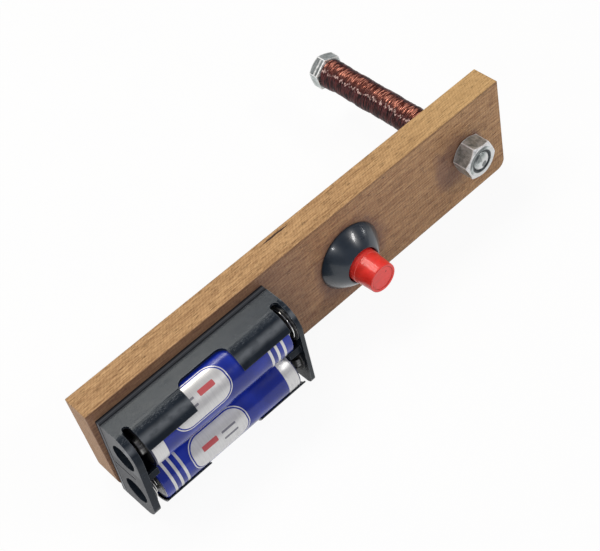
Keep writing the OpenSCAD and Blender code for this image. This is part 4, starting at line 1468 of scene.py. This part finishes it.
        def place(share: float, angle: float) -> Point:
            """Give a point of the wire, its foot following the sheet's lean.

            Args:
                share: Share of the wire's length.
                angle: Angle reached there.

            Returns:
                The point.
            """
            radius = self.base_r + (self.top_r - self.base_r) * share
            rise = gap + (length - 2 * gap) * share ** 1.15
            y = radius * math.cos(angle)
            slack = (1 - share) * math.tan(math.radians(lean)) * (-self.axis_y - self.floor - y)
            return foot_x + side * (rise - slack), self.axis_y + y, axis_z + radius * math.sin(angle)

        return coil(self.turns, 90, place)


@dataclass
class Cell:
    """A round cell: can, jacket, cap and seal."""

    name: str
    base_x: float
    towards_cap: float
    axis_z: float
    turn: float
    panel_at: float
    axis_y: float = CELL_AXIS_Y
    radius: float = CELL_RADIUS
    length: float = CELL_LENGTH
    cap: float = 1.2

    def build(self) -> None:
        """Turn the four pieces of the cell and dress them."""
        centre = (self.base_x, self.axis_y, self.axis_z)
        pieces = {
            "jacket": (self._jacket_profile(), PrintedJacket(
                name=f"{self.name}_print", base_x=self.base_x, towards_cap=self.towards_cap, axis_z=self.axis_z,
                turn=self.turn, panel_at=self.panel_at), "cell_jacket"),
            # The can's and cap's steel is darkened: painted shade of the holder's bays.
            "can": (self._can_profile(), PlatedSteel(
                name=f"{self.name}_can_steel", bright=(0.34, 0.34, 0.34), dull=(0.12, 0.12, 0.125), roughness=0.4,
                streak=(1.0, 3.0, 3.0)), "cell_metal"),
            "cap": (self._cap_profile(), PlatedSteel(
                name=f"{self.name}_cap_steel", bright=(0.34, 0.34, 0.33), dull=(0.10, 0.10, 0.10),
                roughness=0.34), "cell_metal"),
            "seal": (self._seal_profile(), MouldedPlastic(
                name=f"{self.name}_seal", colour=(0.03, 0.03, 0.03), roughness=0.5), "cell_seal")}
        for part, (profile, finish, slot) in pieces.items():
            mirrored = [(r, h * self.towards_cap) for r, h in profile]
            piece = Workshop.turned(f"{self.name}_{part}_skin", mirrored, centre, Axis.BAR, 96)
            Workshop.fit(piece, finish.make(), slot, BOARD, f"{self.name}_{part}")

    def _jacket_profile(self) -> Profile:
        """Tube whose ends are rolled in, with a faint step where the foil band begins.

        Returns:
            Radius and distance along the axis of each point.
        """
        r, roll = self.radius, 0.5
        band = self.length - FOIL_BAND
        outer = arc(r - roll, roll, roll, -90, 0, 6)
        outer += [(r, band - 0.12), (r - 0.05, band - 0.04), (r - 0.05, band + 0.04), (r, band + 0.12)]
        outer += [(r, self.length - 1.15), (r - 0.07, self.length - 1.0), (r - 0.07, self.length - 0.85),
                  (r - 0.02, self.length - 0.7)]
        outer += arc(r - roll, self.length - roll, roll, 0, 90, 6)[1:]
        inner = [(6.2, self.length), (6.2, self.length - 0.2), (6.4, self.length - 0.2), (6.9, self.length - 0.7),
                 (6.9, 0.7), (6.4, 0.2), (6.2, 0.2), (6.2, 0.0)]
        return outer + inner + outer[:1]

    def _can_profile(self) -> Profile:
        """Can with a shallow ring pressed into its base."""
        return [(0.0, 0.12), (3.1, 0.12), (3.5, 0.0), (5.9, 0.0), (6.15, 0.08), (6.15, 0.25), (6.35, 0.25),
                (6.85, 0.75), (6.85, self.length - 1.25), (0.0, self.length - 1.25)]

    def _cap_profile(self) -> Profile:
        """Positive button with a rounded edge and a soft foot.

        Returns:
            Radius and distance along the axis of each point.
        """
        top = self.length + self.cap
        return [(0.0, self.length - 1.2), (4.8, self.length - 1.2), (4.8, self.length - 0.9), (2.75, self.length - 0.9),
                *arc(2.35, top - 0.4, 0.4, 0, 90, 6), (0.0, top)]

    def _seal_profile(self) -> Profile:
        """Flat washer under the jacket's lip."""
        low, high = self.length - 0.85, self.length - 0.25
        return [(2.8, low), (6.4, low), (6.4, high), (2.95, high), (2.8, high - 0.1), (2.8, low)]


@dataclass
class Studio:
    """Camera at the photograph's view, pale floor, world and lamps."""

    rows: tuple[Colour, Colour, Colour] = (
        (0.7231, -0.6679, -0.1765), (-0.6002, -0.4808, -0.6392), (0.3421, 0.5681, -0.7485))
    eye: tuple[float, float, float] = (-56.15, -213.71, 304.76)
    focal_pixels: float = 1353.764
    frame_width: int = 600
    world_strength: float = 0.245
    floor_white: float = 0.93
    lamps: tuple[tuple[str, Point, float, float, float, Colour], ...] = (
        ("sky_box", (-0.058, 0.346, 0.688), 0.54, 0.25, 3.3, (1.0, 0.95, 0.86)),
        ("sky_edge", (0.213, 0.338, 0.698), 0.05, 0.25, 0.30, (1.0, 0.98, 0.95)),
        ("left_fill", (-0.80, 0.10, 0.24), 0.30, 0.25, 1.7, (0.96, 0.98, 1.0)),
        ("window_front", (0.343, -0.413, 0.448), 0.16, 0.05, 0.95, (1.0, 0.98, 0.96)),
        ("window_left", (-0.357, -0.385, 0.462), 0.07, 0.05, 0.55, (1.0, 1.0, 1.0)),
        ("window_right", (0.644, -0.231, 0.140), 0.05, 0.05, 0.13, (1.0, 1.0, 1.0)))

    def build(self) -> None:
        """Set up the camera, the world, the floor and the lamps."""
        self._camera()
        self._world()
        self._floor()
        for lamp in self.lamps:
            self._lamp(*lamp)
        bpy.context.scene.view_settings.view_transform = "Standard"
        LOG.info("studio: camera, floor and lamps ready")

    def _camera(self) -> None:
        """Place the camera from the fit to the bar's corners."""
        data = bpy.data.cameras.new("view")
        data.sensor_width = 36.0
        data.lens = self.focal_pixels * data.sensor_width / self.frame_width
        data.clip_start = 0.01
        camera = bpy.data.objects.new("view", data)
        bpy.context.scene.collection.objects.link(camera)
        right, down, ahead = (Vector(row) for row in self.rows)
        place = Matrix.Identity(4)
        for i in range(3):
            place[i][0], place[i][1], place[i][2] = right[i], -down[i], -ahead[i]
            place[i][3] = metres(self.eye)[i]
        camera.matrix_world = place
        bpy.context.scene.camera = camera

    def _world(self) -> None:
        """Even grey surroundings."""
        world = bpy.data.worlds.new("room")
        world.use_nodes = True
        back = world.node_tree.nodes["Background"]
        back.inputs["Color"].default_value = (0.90, 0.89, 1.0, 1.0)
        back.inputs["Strength"].default_value = self.world_strength
        bpy.context.scene.world = world

    def _floor(self) -> None:
        """Lay a pale floor that shows white to the camera and in reflections and keeps a soft shadow."""
        Workshop.clear()
        bpy.ops.mesh.primitive_plane_add(size=6.0, location=(0, 0, -0.0002))
        floor = bpy.context.object
        floor.name = floor.data.name = "floor"
        material = bpy.data.materials.new("pale_floor")
        material.use_nodes = True
        material.node_tree.nodes.clear()
        patch = Patch(material.node_tree)
        mottled = patch.speckle(patch.place(), 0.02, 3.0, 0.5).ramp(0.3, 0.7, 0.84, 0.88)
        tone = patch.add("ShaderNodeCombineColor", {0: mottled, 1: mottled, 2: mottled})
        paper = patch.add("ShaderNodeBsdfDiffuse", {"Color": tone})
        glow = patch.add("ShaderNodeEmission", {"Color": (1.0, 1.0, 1.0), "Strength": 1.0})
        rays = patch.node("ShaderNodeLightPath").outputs
        seen = most(Signal(rays[kind]) for kind in ("Is Camera Ray", "Is Glossy Ray", "Is Transmission Ray"))
        surface = patch.add("ShaderNodeMixShader", {0: seen * self.floor_white, 1: paper, 2: glow})
        patch.node("ShaderNodeOutputMaterial", {"Surface": surface})
        floor.data.materials.append(material)

    @staticmethod
    def _lamp(name: str, place: Point, width: float, height: float, watts: float, colour: Colour) -> None:
        """Hang a soft lamp that looks at the middle of the object.

        Args:
            name: Name of the lamp.
            place: Place in the shared frame, in metres.
            width: Width of its face in metres.
            height: Height of its face in metres.
            watts: Power.
            colour: Colour of its light.
        """
        data = bpy.data.lights.new(name, "AREA")
        data.shape = "RECTANGLE"
        data.size, data.size_y, data.energy, data.color = width, height, watts, colour
        lamp = bpy.data.objects.new(name, data)
        lamp.location = place
        lamp.rotation_euler = (Vector((0, 0, 0.01)) - Vector(place)).to_track_quat("-Z", "Y").to_euler()
        bpy.context.scene.collection.objects.link(lamp)


def main() -> None:
    """Build the studio and every sub-assembly in order."""
    logging.basicConfig(level=logging.INFO, format="%(name)s %(message)s")
    builders = [
        SharedEffects(), Studio(), WoodenBar(), Magnet(), PushSwitch(), BatteryHolder(),
        Cell("upper_cell", base_x=55.4, towards_cap=-1.0, axis_z=UPPER_AXIS_Z, turn=0.85, panel_at=30.0),
        Cell("lower_cell", base_x=6.0, towards_cap=1.0, axis_z=LOWER_AXIS_Z, turn=0.35, panel_at=20.0)]
    for builder in builders:
        builder.build()
        LOG.info("%s done", type(builder).__name__)


if __name__ == "__main__":
    main()
